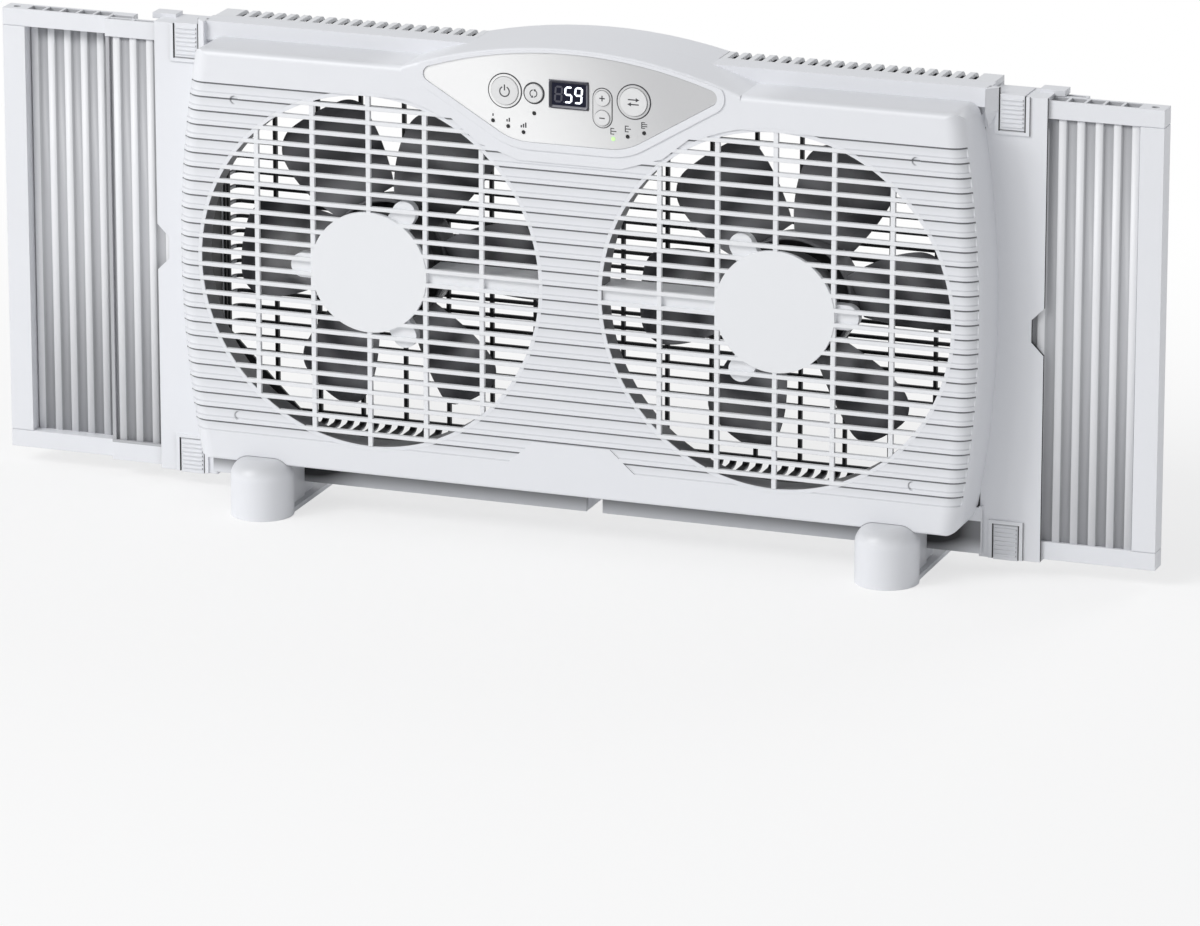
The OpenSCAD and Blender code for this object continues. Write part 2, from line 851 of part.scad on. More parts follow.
// One side pocket, drawn on the right
module pocket() {
    box(bay_half, bay_half + pocket_wall, 0, plate_d, 0, body_h);
    box(bay_half, half_w, pocket_back, plate_d, 0, body_h);
    box(bay_half, half_w, 0, plate_d, 0, low_z);
    box(bay_half, half_w, 0, plate_d, body_h - 1.5, body_h);
    // rear top edge beyond the clip
    box(clip_x + clip_w / 2 + 5, half_w + top_over, plate_d - 11, plate_d, body_h - 1.5, body_h + 2.2);
    // raised ledges beside the clips
    for (z = [body_h - clip_h - 3, 0]) {
        w = clip_w / 2 + slide_gap + ledge_w;
        box(clip_x - w, clip_x + w, ledge_y, skin, z, z + clip_h + 3);
    }
}

// Outline of the finger notch in the right plate's edge
module finger_notch() {
    z = body_h / 2;
    h = notch_h / 2;
    polygon([
        [half_w + 1, z - h - 1], [half_w - notch_d, z - h + notch_d],
        [half_w - notch_d, z + h - notch_d], [half_w + 1, z + h + 1],
    ]);
}

// Clearance for a clip and its travel, drawn on the right at the top
module clip_room() {
    w = clip_w / 2 + slide_gap;
    box(clip_x - w, clip_x + w, -5, skin + 0.1, clip_z0 - slide_gap, body_h + 10);
    wt = w + tongue_d;
    box(clip_x - wt, clip_x + wt, tongue_y - 0.2, tongue_y + tongue + 0.2, clip_z0 - slide_gap, body_h + 10);
    box(clip_x - w, clip_x + w, -5, clip_leg + slide_gap, body_h - 0.9, body_h + 10);
}

module main_housing() {
    c = corner_cut;
    b = box_in;
    zt = cover_top - wall - 0.6;
    color("gainsboro") difference() {
        union() {
            difference() {
                box(-half_w, half_w, 0, skin, 0, body_h);
                // front opening, with its corners left on
                along_y(-1, skin + 1) polygon([
                    [-b + c, plinth_h], [b - c, plinth_h], [b, plinth_h + c], [b, zt - c],
                    [b - c, zt], [c - b, zt], [-b, zt - c], [-b, plinth_h + c],
                ]);
                box(-b, b, -1, skin + 1, plinth_low + wall, rear_z0);
                box(-bay_half, bay_half, -1, skin + 1, -1, plinth_low);
            }
            for (s = [-1, 1]) {
                side(s) pocket();
                // side walls of the fan bay
                side(s) box(b, bay_half + 1, 0, seam_y, 0, top_z);
                side(s) intersection() {
                    box(b, bay_half, -wall_fwd, 0.5, 0, body_h);
                    cover_block(wall + gap, inner_y + gap, 1);
                }
            }
            // top wall with its front step
            box(-bay_half, bay_half, lip_y, seam_y, top_z - wall, top_z);
            box(-bay_half, bay_half, lip_y, lip_y + wall, cover_top - wall, top_z);
            box(-bay_half, bay_half, lip_y, skin, cover_top - wall - 0.6, cover_top - 0.6);
            // floor of the bay and the plinth under it
            box(-bay_half, bay_half, plinth_y, seam_y, rear_z0, plinth_h);
            box(-bay_half, bay_half, plinth_y, plinth_y + wall, plinth_low, plinth_h);
            box(-bay_half, bay_half, plinth_y, plate_d, plinth_low, plinth_low + wall);
            box(-bay_half, bay_half, plate_d - wall, plate_d, plinth_low, rear_z0);
            // wall between the two fans
            box(-1.2, 1.2, -wall_fwd, seam_y, plinth_h - 0.5, top_z - 0.5);
            // raised cap behind the controls
            difference() {
                intersection() {
                    rod(0, cap_top - cap_r, cap_r, lip_y, cap_back);
                    box(-hood_half, hood_half, lip_y, cap_back, top_z, cap_top + 1);
                }
                intersection() {
                    rod(0, cap_top - cap_r, cap_r - wall, lip_y + wall, cap_back - wall);
                    box(-hood_half, hood_half, lip_y, cap_back, top_z - 1, cap_top + 1);
                }
            }
            // foot screw bosses
            for (s = [-1, 1]) {
                translate([s * foot_x, foot_screw_y, plinth_low])
                    cylinder(r = 5, h = foot_tip + 4 - plinth_low);
            }
            // walls of the notch in the lower edge
            translate([notch_x, 0, 0])
                box(-notch_w / 2 - 1.6, notch_w / 2 + 1.6, plinth_y, plate_d, plinth_low, notch_top + 1.6);
            // cord gland seat
            rod(gland_x, gland_z, gland_r + 2.5, plate_d - wall - 2, plate_d);
        }
        for (s = [-1, 1]) {
            // finger notch through the front skin, with sloping ends
            side(s) along_y(-1, skin + 0.1) finger_notch();
            // rooms for the clips
            side(s) clip_room();
            side(s) translate([0, 0, body_h]) mirror([0, 0, 1]) clip_room();
            for (z = boss_z) {
                rod(s * boss_x, z, screw_r + 0.1, -1, skin + 1);
            }
            translate([s * foot_x, foot_screw_y, plinth_low - 1])
                cylinder(r = screw_r + 0.1, h = foot_tip + 3 - plinth_low);
        }
        rod(gland_x, gland_z, gland_r + 0.1, plate_d - wall - 3, plate_d + 1);
        // notch near the middle of the lower edge
        translate([notch_x, 0, 0])
            box(-notch_w / 2, notch_w / 2, plinth_y - 1, plate_d + 1, plinth_low - 1, notch_top);
    }
}

module housing_screws() {
    color("darkgray") for (s = [-1, 1]) {
        for (z = boss_z) {
            rod(s * boss_x, z, screw_r, -screw_reach, skin + 0.5);
            rod(s * boss_x, z, 3.2, skin, skin + 2.2);
        }
    }
}

module cord_gland() {
    x = gland_x;
    z = gland_z;
    color("dimgray") difference() {
        union() {
            rod(x, z, gland_r, plate_d - wall - 3.2, plate_d + gland_l);
            rod(x, z, gland_r + 2, plate_d, plate_d + 2);
            rod(x, z, gland_r + 1.6, plate_d - wall - 4.6, plate_d - wall - 2);
        }
        rod(x, z, gland_bore, plate_d - wall - 6, plate_d + gland_l + 1);
        for (k = [0 : 2]) {
            difference() {
                rod(x, z, gland_r + 1, plate_d + 3 + 2 * k, plate_d + 4 + 2 * k);
                rod(x, z, gland_r - 1.2, plate_d + 2.5 + 2 * k, plate_d + 4.5 + 2 * k);
            }
        }
    }
}

// ---- rear grille ---------------------------------------------------------

// Plan of the rear grille, taken in by g
module rear_plan(g, front) {
    w = bay_half - gap;
    translate([-w + g, front]) square([2 * (w - g), back_y - back_r - front]);
    translate([-w + back_r, front]) square([2 * (w - back_r), back_y - g - front]);
    translate([w - back_r, back_y - back_r]) circle(r = back_r - g);
    translate([back_r - w, back_y - back_r]) circle(r = back_r - g);
}

// Side profile of the rear grille, taken in by g
module rear_profile(g, front) {
    translate([front, rear_z0 + g]) square([back_y - back_r - front, rear_z1 - rear_z0 - 2 * g]);
    translate([front, rear_z0 + back_r]) square([back_y - g - front, rear_z1 - rear_z0 - 2 * back_r]);
    translate([back_y - back_r, rear_z0 + back_r]) circle(r = back_r - g);
    translate([back_y - back_r, rear_z1 - back_r]) circle(r = back_r - g);
}

module rear_block(g, front) {
    intersection() {
        translate([0, 0, rear_z0]) linear_extrude(height = rear_z1 - rear_z0) rear_plan(g, front);
        along_x(-half_w, half_w) rear_profile(g, front);
    }
}

module rear_frame() {
    color("gainsboro") difference() {
        rear_block(0, seam_y);
        rear_block(wall, seam_y - 1);
        box(-half_w, half_w, seam_y + 3, back_y + 1, win_z0, win_z1);
        for (k = [-slot_n : slot_n]) {
            x = k * slot_pitch;
            // slots in the floor and, outside the raised cap, in the top
            xa = x - slot_w / 2;
            xb = x + slot_w / 2;
            box(xa, xb, seam_y + 3, back_y + 1, rear_z0 - 1, rear_z0 + band_h - 2);
            if (abs(x) > cap_half + slot_w / 2) {
                box(xa, xb, seam_y + 3, back_y + 1, rear_z1 - band_h + 2, rear_z1 + 1);
            }
        }
    }
}

module rear_slats() {
    w = slat_half;
    color("gainsboro") {
        for (k = [0 : slat_n]) {
            box(-w, w, back_y - wall, back_y, slat_z0 + k * slat_pitch, slat_z0 + k * slat_pitch + slat_t);
        }
        for (k = [post_low : post_high]) {
            x = k * post_pitch + post_shift;
            box(x - 1.1, x + 1.1, back_y - wall - 1.4, back_y - 0.5, win_z0, win_z1);
        }
    }
}

// Slats round one upright corner of the rear grille, drawn on the right
module corner_slats() {
    w = bay_half - gap;
    intersection() {
        union() {
            for (k = [0 : slat_n]) {
                translate([0, 0, slat_z0 + k * slat_pitch]) linear_extrude(height = slat_t) difference() {
                    rear_plan(0, seam_y + 3);
                    rear_plan(wall, seam_y + 2);
                }
            }
            // post that joins the slats inside the corner
            box(w - wall - 1.4, w - wall + 0.4, 20, 23, win_z0, win_z1);
            box(w - wall - 1.4, w - 0.4, seam_y + 3, seam_y + 5, win_z0, win_z1);
        }
        box(w - back_r, w + 1, seam_y + 3, back_y + 1, 0, body_h + 20);
    }
}

module left_rear_slats() {
    color("gainsboro") mirror([1, 0, 0]) corner_slats();
}

module right_rear_slats() {
    color("gainsboro") corner_slats();
}

// ---- feet ----------------------------------------------------------------

// Round front of a foot with its domed edge, grown by g. Over the cover's
// lower edge only the part in front of the cover's face is left.
module foot_front(g) {
    h = cover_low + foot_rise + foot_h;
    c = drum_r - foot_round;
    intersection() {
        translate([0, face_y, -foot_h]) rotate_extrude() {
            square([drum_r + g, h - foot_round]);
            square([c, h + g]);
            intersection() {
                translate([c, h - foot_round]) circle(r = foot_round + g);
                translate([0, h - foot_round - 1]) square([drum_r + g, foot_round + g + 1]);
            }
        }
        union() {
            box(-drum_r - 1, drum_r + 1, face_y - drum_r - 1, rib_y + 1.2 + g, -foot_h, h);
            box(-drum_r - 1, drum_r + 1, face_y - drum_r - 1, face_y + drum_r + 1, -foot_h, cover_low - 0.4);
        }
    }
}

// One foot about its own middle
module foot() {
    w = foot_w / 2;
    top = cover_low - 0.4;
    difference() {
        union() {
            foot_front(0);
            box(-w, w, face_y, foot_back, -foot_h, foot_t - foot_h);
            box(-w + 4, w - 4, face_y + 5, plinth_y - gap, -foot_h, top - 1);
            box(-w + 6, w - 6, plinth_y - 3, 16, -foot_h, plinth_low);
        }
        // hollow of the round front, open below
        intersection() {
            foot_front(-wall);
            box(-drum_r, drum_r, face_y - drum_r, face_y + drum_r, foot_t - foot_h, top - wall);
        }
        translate([0, foot_screw_y, -foot_h - 1]) cylinder(r = screw_r + 0.2, h = foot_h + plinth_low + 2);
        translate([0, foot_screw_y, -foot_h - 1]) cylinder(r = 4, h = 4.5);
    }
}

module left_foot() {
    color("gainsboro") translate([-foot_x, 0, 0]) foot();
}

module right_foot() {
    color("gainsboro") translate([foot_x, 0, 0]) foot();
}

module foot_screws() {
    color("darkgray") for (s = [-1, 1]) {
        translate([s * foot_x, foot_screw_y, foot_tip - foot_screw_l])
            cylinder(r = screw_r, h = foot_screw_l);
        translate([s * foot_x, foot_screw_y, foot_tip - foot_screw_l - 2.2]) cylinder(r = 3.2, h = 2.2);
    }
}

// ---- clips ---------------------------------------------------------------

// One corner clip, drawn at the top right
module clip() {
    w = clip_w / 2;
    box(clip_x - w, clip_x + w, clip_y0, clip_y1, clip_z0, body_h);
    box(clip_x - w - tongue_d, clip_x + w + tongue_d, tongue_y, tongue_y + tongue, clip_z0, body_h - 1.5);
    box(clip_x - w, clip_x + w, clip_y0, clip_leg, body_h - 0.6, body_h + 0.6);
    for (k = [0 : grip_count - 1]) {
        z = clip_z0 + 2.4 + k * (clip_h - 5) / (grip_count - 1);
        box(clip_x - w + 1, clip_x + w - 1, clip_y0 - 0.7, clip_y0 + 0.2, z - 0.55, z + 0.55);
    }
}

module top_left_clip() {
    color("gainsboro") mirror([1, 0, 0]) clip();
}

module top_right_clip() {
    color("gainsboro") clip();
}

module bottom_left_clip() {
    color("gainsboro") translate([0, 0, body_h]) mirror([0, 0, 1]) mirror([1, 0, 0]) clip();
}

module bottom_right_clip() {
    color("gainsboro") translate([0, 0, body_h]) mirror([0, 0, 1]) clip();
}

// ---- side panels ---------------------------------------------------------

// Rail box from x0 to x1 with n open cells on its outer face
module rail(x0, x1, y0, d, z0, h, n, up) {
    step = (x1 - x0 - cell_wall) / n;
    difference() {
        box(x0, x1, y0, y0 + d, z0, z0 + h);
        for (k = [0 : n - 1]) {
            zc = up ? z0 + 2 : z0 - 1;
            xa = x0 + cell_wall + k * step;
            box(xa, xa + step - cell_wall, y0 + cell_wall, y0 + d - cell_wall, zc, zc + h - 1);
        }
    }
}

// Corrugated sheet drawn upright between x0 and x1
module corrugated(x0, x1, y_mid, amp, z0, z1) {
    n = floor((x1 - x0) / wave_pitch * 8);
    dx = (x1 - x0) / n;
    mid = [for (i = [0 : n]) [x0 + i * dx, y_mid + amp * sin(360 * i * dx / wave_pitch)]];
    outer = [for (i = [0 : n]) mid[i] - [0, sheet_t / 2]];
    inner = [for (i = [n : -1 : 0]) mid[i] + [0, sheet_t / 2]];
    translate([0, 0, z0]) linear_extrude(height = z1 - z0) polygon(concat(outer, inner));
}

// Frame of an inner stage from x0 out to x0 + inner_w
module inner_frame(x0, y0) {
    x1 = x0 + inner_w;
    rail(x0, x1, y0, inner_d, panel_z1 - rail_h, rail_h, 3, true);
    rail(x0, x1, y0, inner_d, panel_z0, rail_h + rail_extra, 3, false);
    for (x = [x0, x1 - 2.4]) {
        box(x, x + 2.4, y0 + 0.8, y0 + inner_d - 0.8, panel_z0 + 5, panel_z1 - 5);
    }
}

module inner_sheet(x0, y0) {
    z0 = panel_z0 + rail_h + rail_extra;
    corrugated(x0 + 2.4, x0 + inner_w - 2.4, y0 + inner_d / 2, 1.3, z0, panel_z1 - rail_h);
}

// Frame of an outer stage from x0 out to x0 + outer_w. Where the rails pass
// the inner stage they are thinner, on the side away from it. A fine groove
// parts each rail's end from the end bar.
module outer_frame(x0, y0, tail_y) {
    x1 = x0 + outer_w;
    xt = x0 + 14;
    for (up = [0, 1]) {
        z = up ? panel_z1 - rail_h : panel_z0;
        box(x0, xt + 2, tail_y, tail_y + tail_d, z, z + rail_h);
        rail(xt, x1 - end_w, y0, outer_d, z, rail_h, cell_count, up == 1);
    }
    difference() {
        box(x1 - end_w, x1, y0, y0 + outer_d, panel_z0, panel_z1);
        translate([x1 - end_w / 2, y0 + outer_d / 2, panel_z1 - end_hole_d])
            cylinder(r = end_hole, h = end_hole_d + 1);
        for (z = [panel_z0 + rail_h, panel_z1 - rail_h]) {
            difference() {
                box(x1 - end_w - 1, x1 + 1, y0 - 1, y0 + outer_d + 1, z - 0.3, z + 0.3);
                box(x1 - end_w - 2, x1 - 0.6, y0 + 0.6, y0 + outer_d - 0.6, z - 1, z + 1);
            }
        }
    }
    box(x0, x0 + 2.4, tail_y + 1, tail_y + tail_d - 1, panel_z0 + 5, panel_z1 - 5);
}

module outer_sheet(x0, y0, tail_y) {
    z0 = panel_z0 + rail_h;
    corrugated(x0 + 2.4, x0 + outer_w - end_w, tail_y + tail_d / 2, 1.6, z0, panel_z1 - rail_h);
}

left_inner_x = half_w + left_step - inner_w;
left_outer_x = half_w + left_reach - outer_w;
right_inner_x = pocket_room;
right_outer_x = half_w + right_reach - outer_w;
left_tail_y = left_outer_y + outer_d - tail_d;
right_tail_y = front_y;

module left_inner_frame() {
    color("gainsboro") mirror([1, 0, 0]) inner_frame(left_inner_x, front_y);
}

module left_inner_sheet() {
    color("silver") mirror([1, 0, 0]) inner_sheet(left_inner_x, front_y);
}

module left_outer_frame() {
    color("gainsboro") mirror([1, 0, 0]) outer_frame(left_outer_x, left_outer_y, left_tail_y);
}

module left_outer_sheet() {
    color("silver") mirror([1, 0, 0]) outer_sheet(left_outer_x, left_outer_y, left_tail_y);
}

module right_inner_frame() {
    color("gainsboro") inner_frame(right_inner_x, right_inner_y);
}

module right_inner_sheet() {
    color("silver") inner_sheet(right_inner_x, right_inner_y);
}

module right_outer_frame() {
    color("gainsboro") outer_frame(right_outer_x, front_y, right_tail_y);
}

module right_outer_sheet() {
    color("silver") outer_sheet(right_outer_x, front_y, right_tail_y);
}

// ---- impellers and motors ------------------------------------------------

// One blade: a petal outline cut from a pitched, cambered shell. The tip's
// round corners touch the circle on which the tips run.
module blade() {
    c = blade_corner;
    b = blade_w / 2 - c;
    a = sqrt((blade_r - c) * (blade_r - c) - b * b);
    k = blade_r / (blade_r - c) + 0.05;
    intersection() {
        along_y(blade_y - blade_room, blade_y + blade_room) union() {
            translate([a, b]) circle(r = c);
            translate([a, -b]) circle(r = c);
            polygon([
                [cup_r - 3, -blade_skew - blade_root / 2], [a, -b - c],
                [a, b + c], [cup_r - 3, blade_root / 2 - blade_skew],
            ]);
            intersection() {
                circle(r = blade_r, $fn = 180);
                polygon([[0, 0], [a * k, -b * k], [a * k, b * k]]);
            }
        }
        translate([cup_r - 6, blade_y, 0]) rotate([blade_angle, 0, 0]) translate([0, blade_camber, 0])
            rotate([0, 90, 0]) difference() {
                cylinder(r = blade_camber + blade_t / 2, h = blade_r, $fn = 180);
                translate([0, 0, -1]) cylinder(r = blade_camber - blade_t / 2, h = blade_r + 2, $fn = 180);
            }
    }
}

module impeller() {
    difference() {
        union() {
            difference() {
                rod(0, 0, cup_r, cup_y, cup_end);
                rod(0, 0, cup_r - 2.2, cup_y - 1, cup_end - 2.4);
            }
            rod(0, 0, shaft_r + 4.5, cup_y + 5, cup_end);
            for (a = [0 : 3]) {
                rotate([0, a * 45, 0]) box(-cup_r + 1, cup_r - 1, cup_end - 8, cup_end - 1, -0.8, 0.8);
            }
            for (k = [0 : blade_count - 1]) {
                rotate([0, k * 360 / blade_count, 0]) difference() {
                    blade();
                    rod(0, 0, cup_r - 2, blade_y - blade_room - 1, blade_y + blade_room + 1);
                }
            }
        }
        rod(0, 0, shaft_r + slip, cup_y - 2, cup_end + 1);
    }
}

module left_impeller() {
    color("dimgray") translate([-fan_x, 0, fan_z]) rotate([0, left_turn, 0]) impeller();
}

module right_impeller() {
    color("dimgray") translate([fan_x, 0, fan_z]) rotate([0, right_turn, 0]) impeller();
}

module left_shaft() {
    color("lightgray") rod(-fan_x, fan_z, shaft_r, can_y + 1, shaft_end);
}

module right_shaft() {
    color("lightgray") rod(fan_x, fan_z, shaft_r, can_y + 1, shaft_end);
}

// Six-sided nut with its bore
module nut(x) {
    difference() {
        translate([x, cup_end, fan_z]) rotate([-90, 0, 0])
            linear_extrude(height = 4) circle(r = shaft_r + 3.4, $fn = 6);
        rod(x, fan_z, shaft_r + slip, cup_end - 1, cup_end + 5);
    }
}

module left_nut() {
    color("silver") nut(-fan_x);
}

module right_nut() {
    color("silver") nut(fan_x);
}

module rotor(x) {
    difference() {
        rod(x, fan_z, rotor_r, rotor_y0, rotor_y1);
        rod(x, fan_z, shaft_r + slip, rotor_y0 - 1, rotor_y1 + 1);
    }
}

module left_rotor() {
    color("gray") rotor(-fan_x);
}

module right_rotor() {
    color("gray") rotor(fan_x);
}

module stator() {
    difference() {
        rod(0, 0, can_r - can_t - 0.1, rotor_y0, rotor_y1);
        rod(0, 0, rotor_r + air_gap, rotor_y0 - 1, rotor_y1 + 1);
        for (k = [0 : slot_count - 1]) {
            rotate([0, k * 360 / slot_count, 0]) {
                box(rotor_r + air_gap - 1, rotor_r + 4, rotor_y0 - 1, rotor_y1 + 1, -0.8, 0.8);
                rod(rotor_r + 6.5, 0, 2.6, rotor_y0 - 1, rotor_y1 + 1);
            }
        }
    }
}

module left_stator() {
    color("orange") translate([-fan_x, 0, fan_z]) stator();
}

module right_stator() {
    color("orange") translate([fan_x, 0, fan_z]) stator();
}

// Motor can with end plates, bearing seats and three tabs
module can(s) {
    difference() {
        union() {
            rod(0, 0, can_r, can_y, can_end);
            ears(s) box(can_r - 1, ear_r, ear_y, ear_y + ear_t, -ear_w + 1, ear_w - 1);
            ears(s) rod(ear_r, 0, ear_w - 1, ear_y, ear_y + ear_t);
        }
        difference() {
            rod(0, 0, can_r - can_t, can_y + can_t, can_end - can_t);
            rod(0, 0, bearing_r + 1.6, can_y, can_y + bearing_d + 0.4);
            rod(0, 0, bearing_r + 1.6, can_end - bearing_d - 0.4, can_end);
        }
        rod(0, 0, bearing_r + slip, can_y + 0.8, can_y + bearing_d + 1);
        rod(0, 0, bearing_r + slip, can_end - bearing_d - 0.8, can_end + 1);
        ears(s) rod(ear_r, 0, screw_r + 0.2, ear_y - 1, ear_y + ear_t + 1);
        // cooling slots in the can's rear end
        for (k = [0 : 7]) {
            rotate([0, k * 45, 0]) box(bearing_r + 6, can_r - 6, can_end - can_t - 1, can_end + 1, -1.5, 1.5);
        }
    }
}

module left_can() {
    color("gray") translate([-fan_x, 0, fan_z]) can(-1);
}

module right_can() {
    color("gray") translate([fan_x, 0, fan_z]) can(1);
}

module bearings(x) {
    for (y = [can_y + 0.9, can_end - bearing_d + 0.1]) {
        difference() {
            rod(x, fan_z, bearing_r, y, y + bearing_d - 0.4);
            rod(x, fan_z, shaft_r + run_fit, y - 1, y + bearing_d);
        }
    }
}

module left_bearings() {
    color("goldenrod") bearings(-fan_x);
}

module right_bearings() {
    color("goldenrod") bearings(fan_x);
}

module motor_screws(s) {
    ears(s) rod(ear_r, 0, screw_r, bar_y + 0.7, ear_y + ear_t + 0.5);
    ears(s) rod(ear_r, 0, 3, ear_y + ear_t, ear_y + ear_t + 2);
}

module left_motor_screws() {
    color("darkgray") translate([-fan_x, 0, fan_z]) motor_screws(-1);
}

module right_motor_screws() {
    color("darkgray") translate([fan_x, 0, fan_z]) motor_screws(1);
}

// ---- drawing -------------------------------------------------------------

translate(shift) {
    front_cover();
    left_guard();
    right_guard();
    left_collar();
    right_collar();
    left_motor_mount();
    right_motor_mount();
    left_duct();
    right_duct();
    control_plate();
    display_frame();
    display_window();
    indicator_lights();
    control_board();
    board_screws();
    speed_button();
    mode_button();
    plus_button();
    minus_button();
    airflow_button();
    main_housing();
    rear_frame();
    rear_slats();
    left_rear_slats();
    right_rear_slats();
    housing_screws();
    cord_gland();
    left_foot();
    right_foot();
    foot_screws();
    top_left_clip();
    top_right_clip();
    bottom_left_clip();
    bottom_right_clip();
    left_inner_frame();
    left_inner_sheet();
    left_outer_frame();
    left_outer_sheet();
    right_inner_frame();
    right_inner_sheet();
    right_outer_frame();
    right_outer_sheet();
    left_impeller();
    right_impeller();
    left_shaft();
    right_shaft();
    left_nut();
    right_nut();
    left_rotor();
    right_rotor();
    left_stator();
    right_stator();
    left_can();
    right_can();
    left_bearings();
    right_bearings();
    left_motor_screws();
    right_motor_screws();
}
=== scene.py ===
"""Looks for the twin window fan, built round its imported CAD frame."""

import json
import math

import bpy
import numpy as np
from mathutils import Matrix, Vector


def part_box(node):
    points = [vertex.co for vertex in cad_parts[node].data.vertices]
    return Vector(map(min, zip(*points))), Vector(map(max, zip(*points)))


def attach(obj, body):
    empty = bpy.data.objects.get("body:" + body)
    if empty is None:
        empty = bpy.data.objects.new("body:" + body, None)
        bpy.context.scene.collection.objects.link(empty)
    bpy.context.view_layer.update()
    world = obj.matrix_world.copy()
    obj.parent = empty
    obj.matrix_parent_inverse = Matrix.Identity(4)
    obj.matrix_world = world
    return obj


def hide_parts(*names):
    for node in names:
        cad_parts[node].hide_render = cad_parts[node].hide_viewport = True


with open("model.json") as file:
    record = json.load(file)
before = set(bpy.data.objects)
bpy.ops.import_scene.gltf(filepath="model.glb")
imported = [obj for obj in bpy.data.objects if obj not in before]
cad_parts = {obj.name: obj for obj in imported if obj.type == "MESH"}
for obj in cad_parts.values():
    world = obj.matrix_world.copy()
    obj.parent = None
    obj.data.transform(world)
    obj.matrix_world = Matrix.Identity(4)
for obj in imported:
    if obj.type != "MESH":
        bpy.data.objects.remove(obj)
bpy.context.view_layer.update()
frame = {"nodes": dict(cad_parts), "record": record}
nodes = frame["nodes"]


# ---- places ---------------------------------------------------------------

MM = 0.001
COVER_FRONT = -40.4  # depth of the cover's front and the control plate, mm
AXIS_Z = 158  # height of the fans' axes, mm


def centre(node):
    """Middle of a CAD node's box, in metres."""
    low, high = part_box(node)
    return (np.array(low) + np.array(high)) / 2


# The drawing's own origin: middle of the housing, front of the side plates,
# lower edge of the side plates. X runs right, Y back and Z up.
HUB = {"left": centre("left_nut"), "right": centre("right_nut")}
ORIGIN = np.array(
    [
        (HUB["left"][0] + HUB["right"][0]) / 2,
        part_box("left_guard")[0][1] - COVER_FRONT * MM,
        HUB["left"][2] - AXIS_Z * MM,
    ]
)
FAN_X = (HUB["right"][0] - HUB["left"][0]) / 2 / MM


def place(points):
    """Points in the drawing's millimetres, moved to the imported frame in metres."""
    return np.asarray(points, float) * MM + ORIGIN


# ---- shader maths ---------------------------------------------------------


class Sock:
    """A shader value. Its operators add the matching maths nodes."""

    def __init__(self, tree, socket):
        self.tree = tree
        self.socket = socket

    def _math(self, kind, *others):
        n = self.tree.nodes.new("ShaderNodeMath")
        n.operation = kind
        for i, v in enumerate((self,) + others):
            if isinstance(v, Sock):
                self.tree.links.new(v.socket, n.inputs[i])
            else:
                n.inputs[i].default_value = v
        return Sock(self.tree, n.outputs[0])

    def __add__(self, o):
        return self._math("ADD", o)

    __radd__ = __add__

    def __sub__(self, o):
        return self._math("SUBTRACT", o)

    def __rsub__(self, o):
        return (self * -1) + o

    def __mul__(self, o):
        return self._math("MULTIPLY", o)

    __rmul__ = __mul__

    def __truediv__(self, o):
        return self._math("DIVIDE", o)

    def sin(self):
        return self._math("SINE")

    def abs(self):
        return self._math("ABSOLUTE")

    def power(self, o):
        return self._math("POWER", o)

    def fract(self):
        return self._math("FRACT")

    def clamp(self):
        return self._math("MAXIMUM", 0.0)._math("MINIMUM", 1.0)

    def past(self, edge, soft=0.0002):
        """0 before the edge and 1 past it, over twice soft."""
        return self.step(edge - soft, edge + soft)

    def within(self, low, high, soft=0.0002):
        """1 between low and high, 0 outside, with soft ends."""
        return self.past(low, soft) * (1 - self.past(high, soft))

    def step(self, low, high):
        """0 below low, 1 above high and smooth between."""
        n = self.tree.nodes.new("ShaderNodeMapRange")
        n.interpolation_type = "SMOOTHSTEP"
        self.tree.links.new(self.socket, n.inputs["Value"])
        n.inputs["From Min"].default_value = low
        n.inputs["From Max"].default_value = high
        return Sock(self.tree, n.outputs[0])

    def mix(self, a, b):
        """Colour a where this is 0, b where it is 1."""
        n = self.tree.nodes.new("ShaderNodeMix")
        n.data_type = "RGBA"
        self.tree.links.new(self.socket, n.inputs["Factor"])
        for name, v in (("A", a), ("B", b)):
            s = [i for i in n.inputs if i.name == name and i.type == "RGBA"][0]
            if isinstance(v, Sock):
                self.tree.links.new(v.socket, s)
            else:
                s.default_value = (*v, 1)
        return Sock(self.tree, [o for o in n.outputs if o.type == "RGBA"][0])


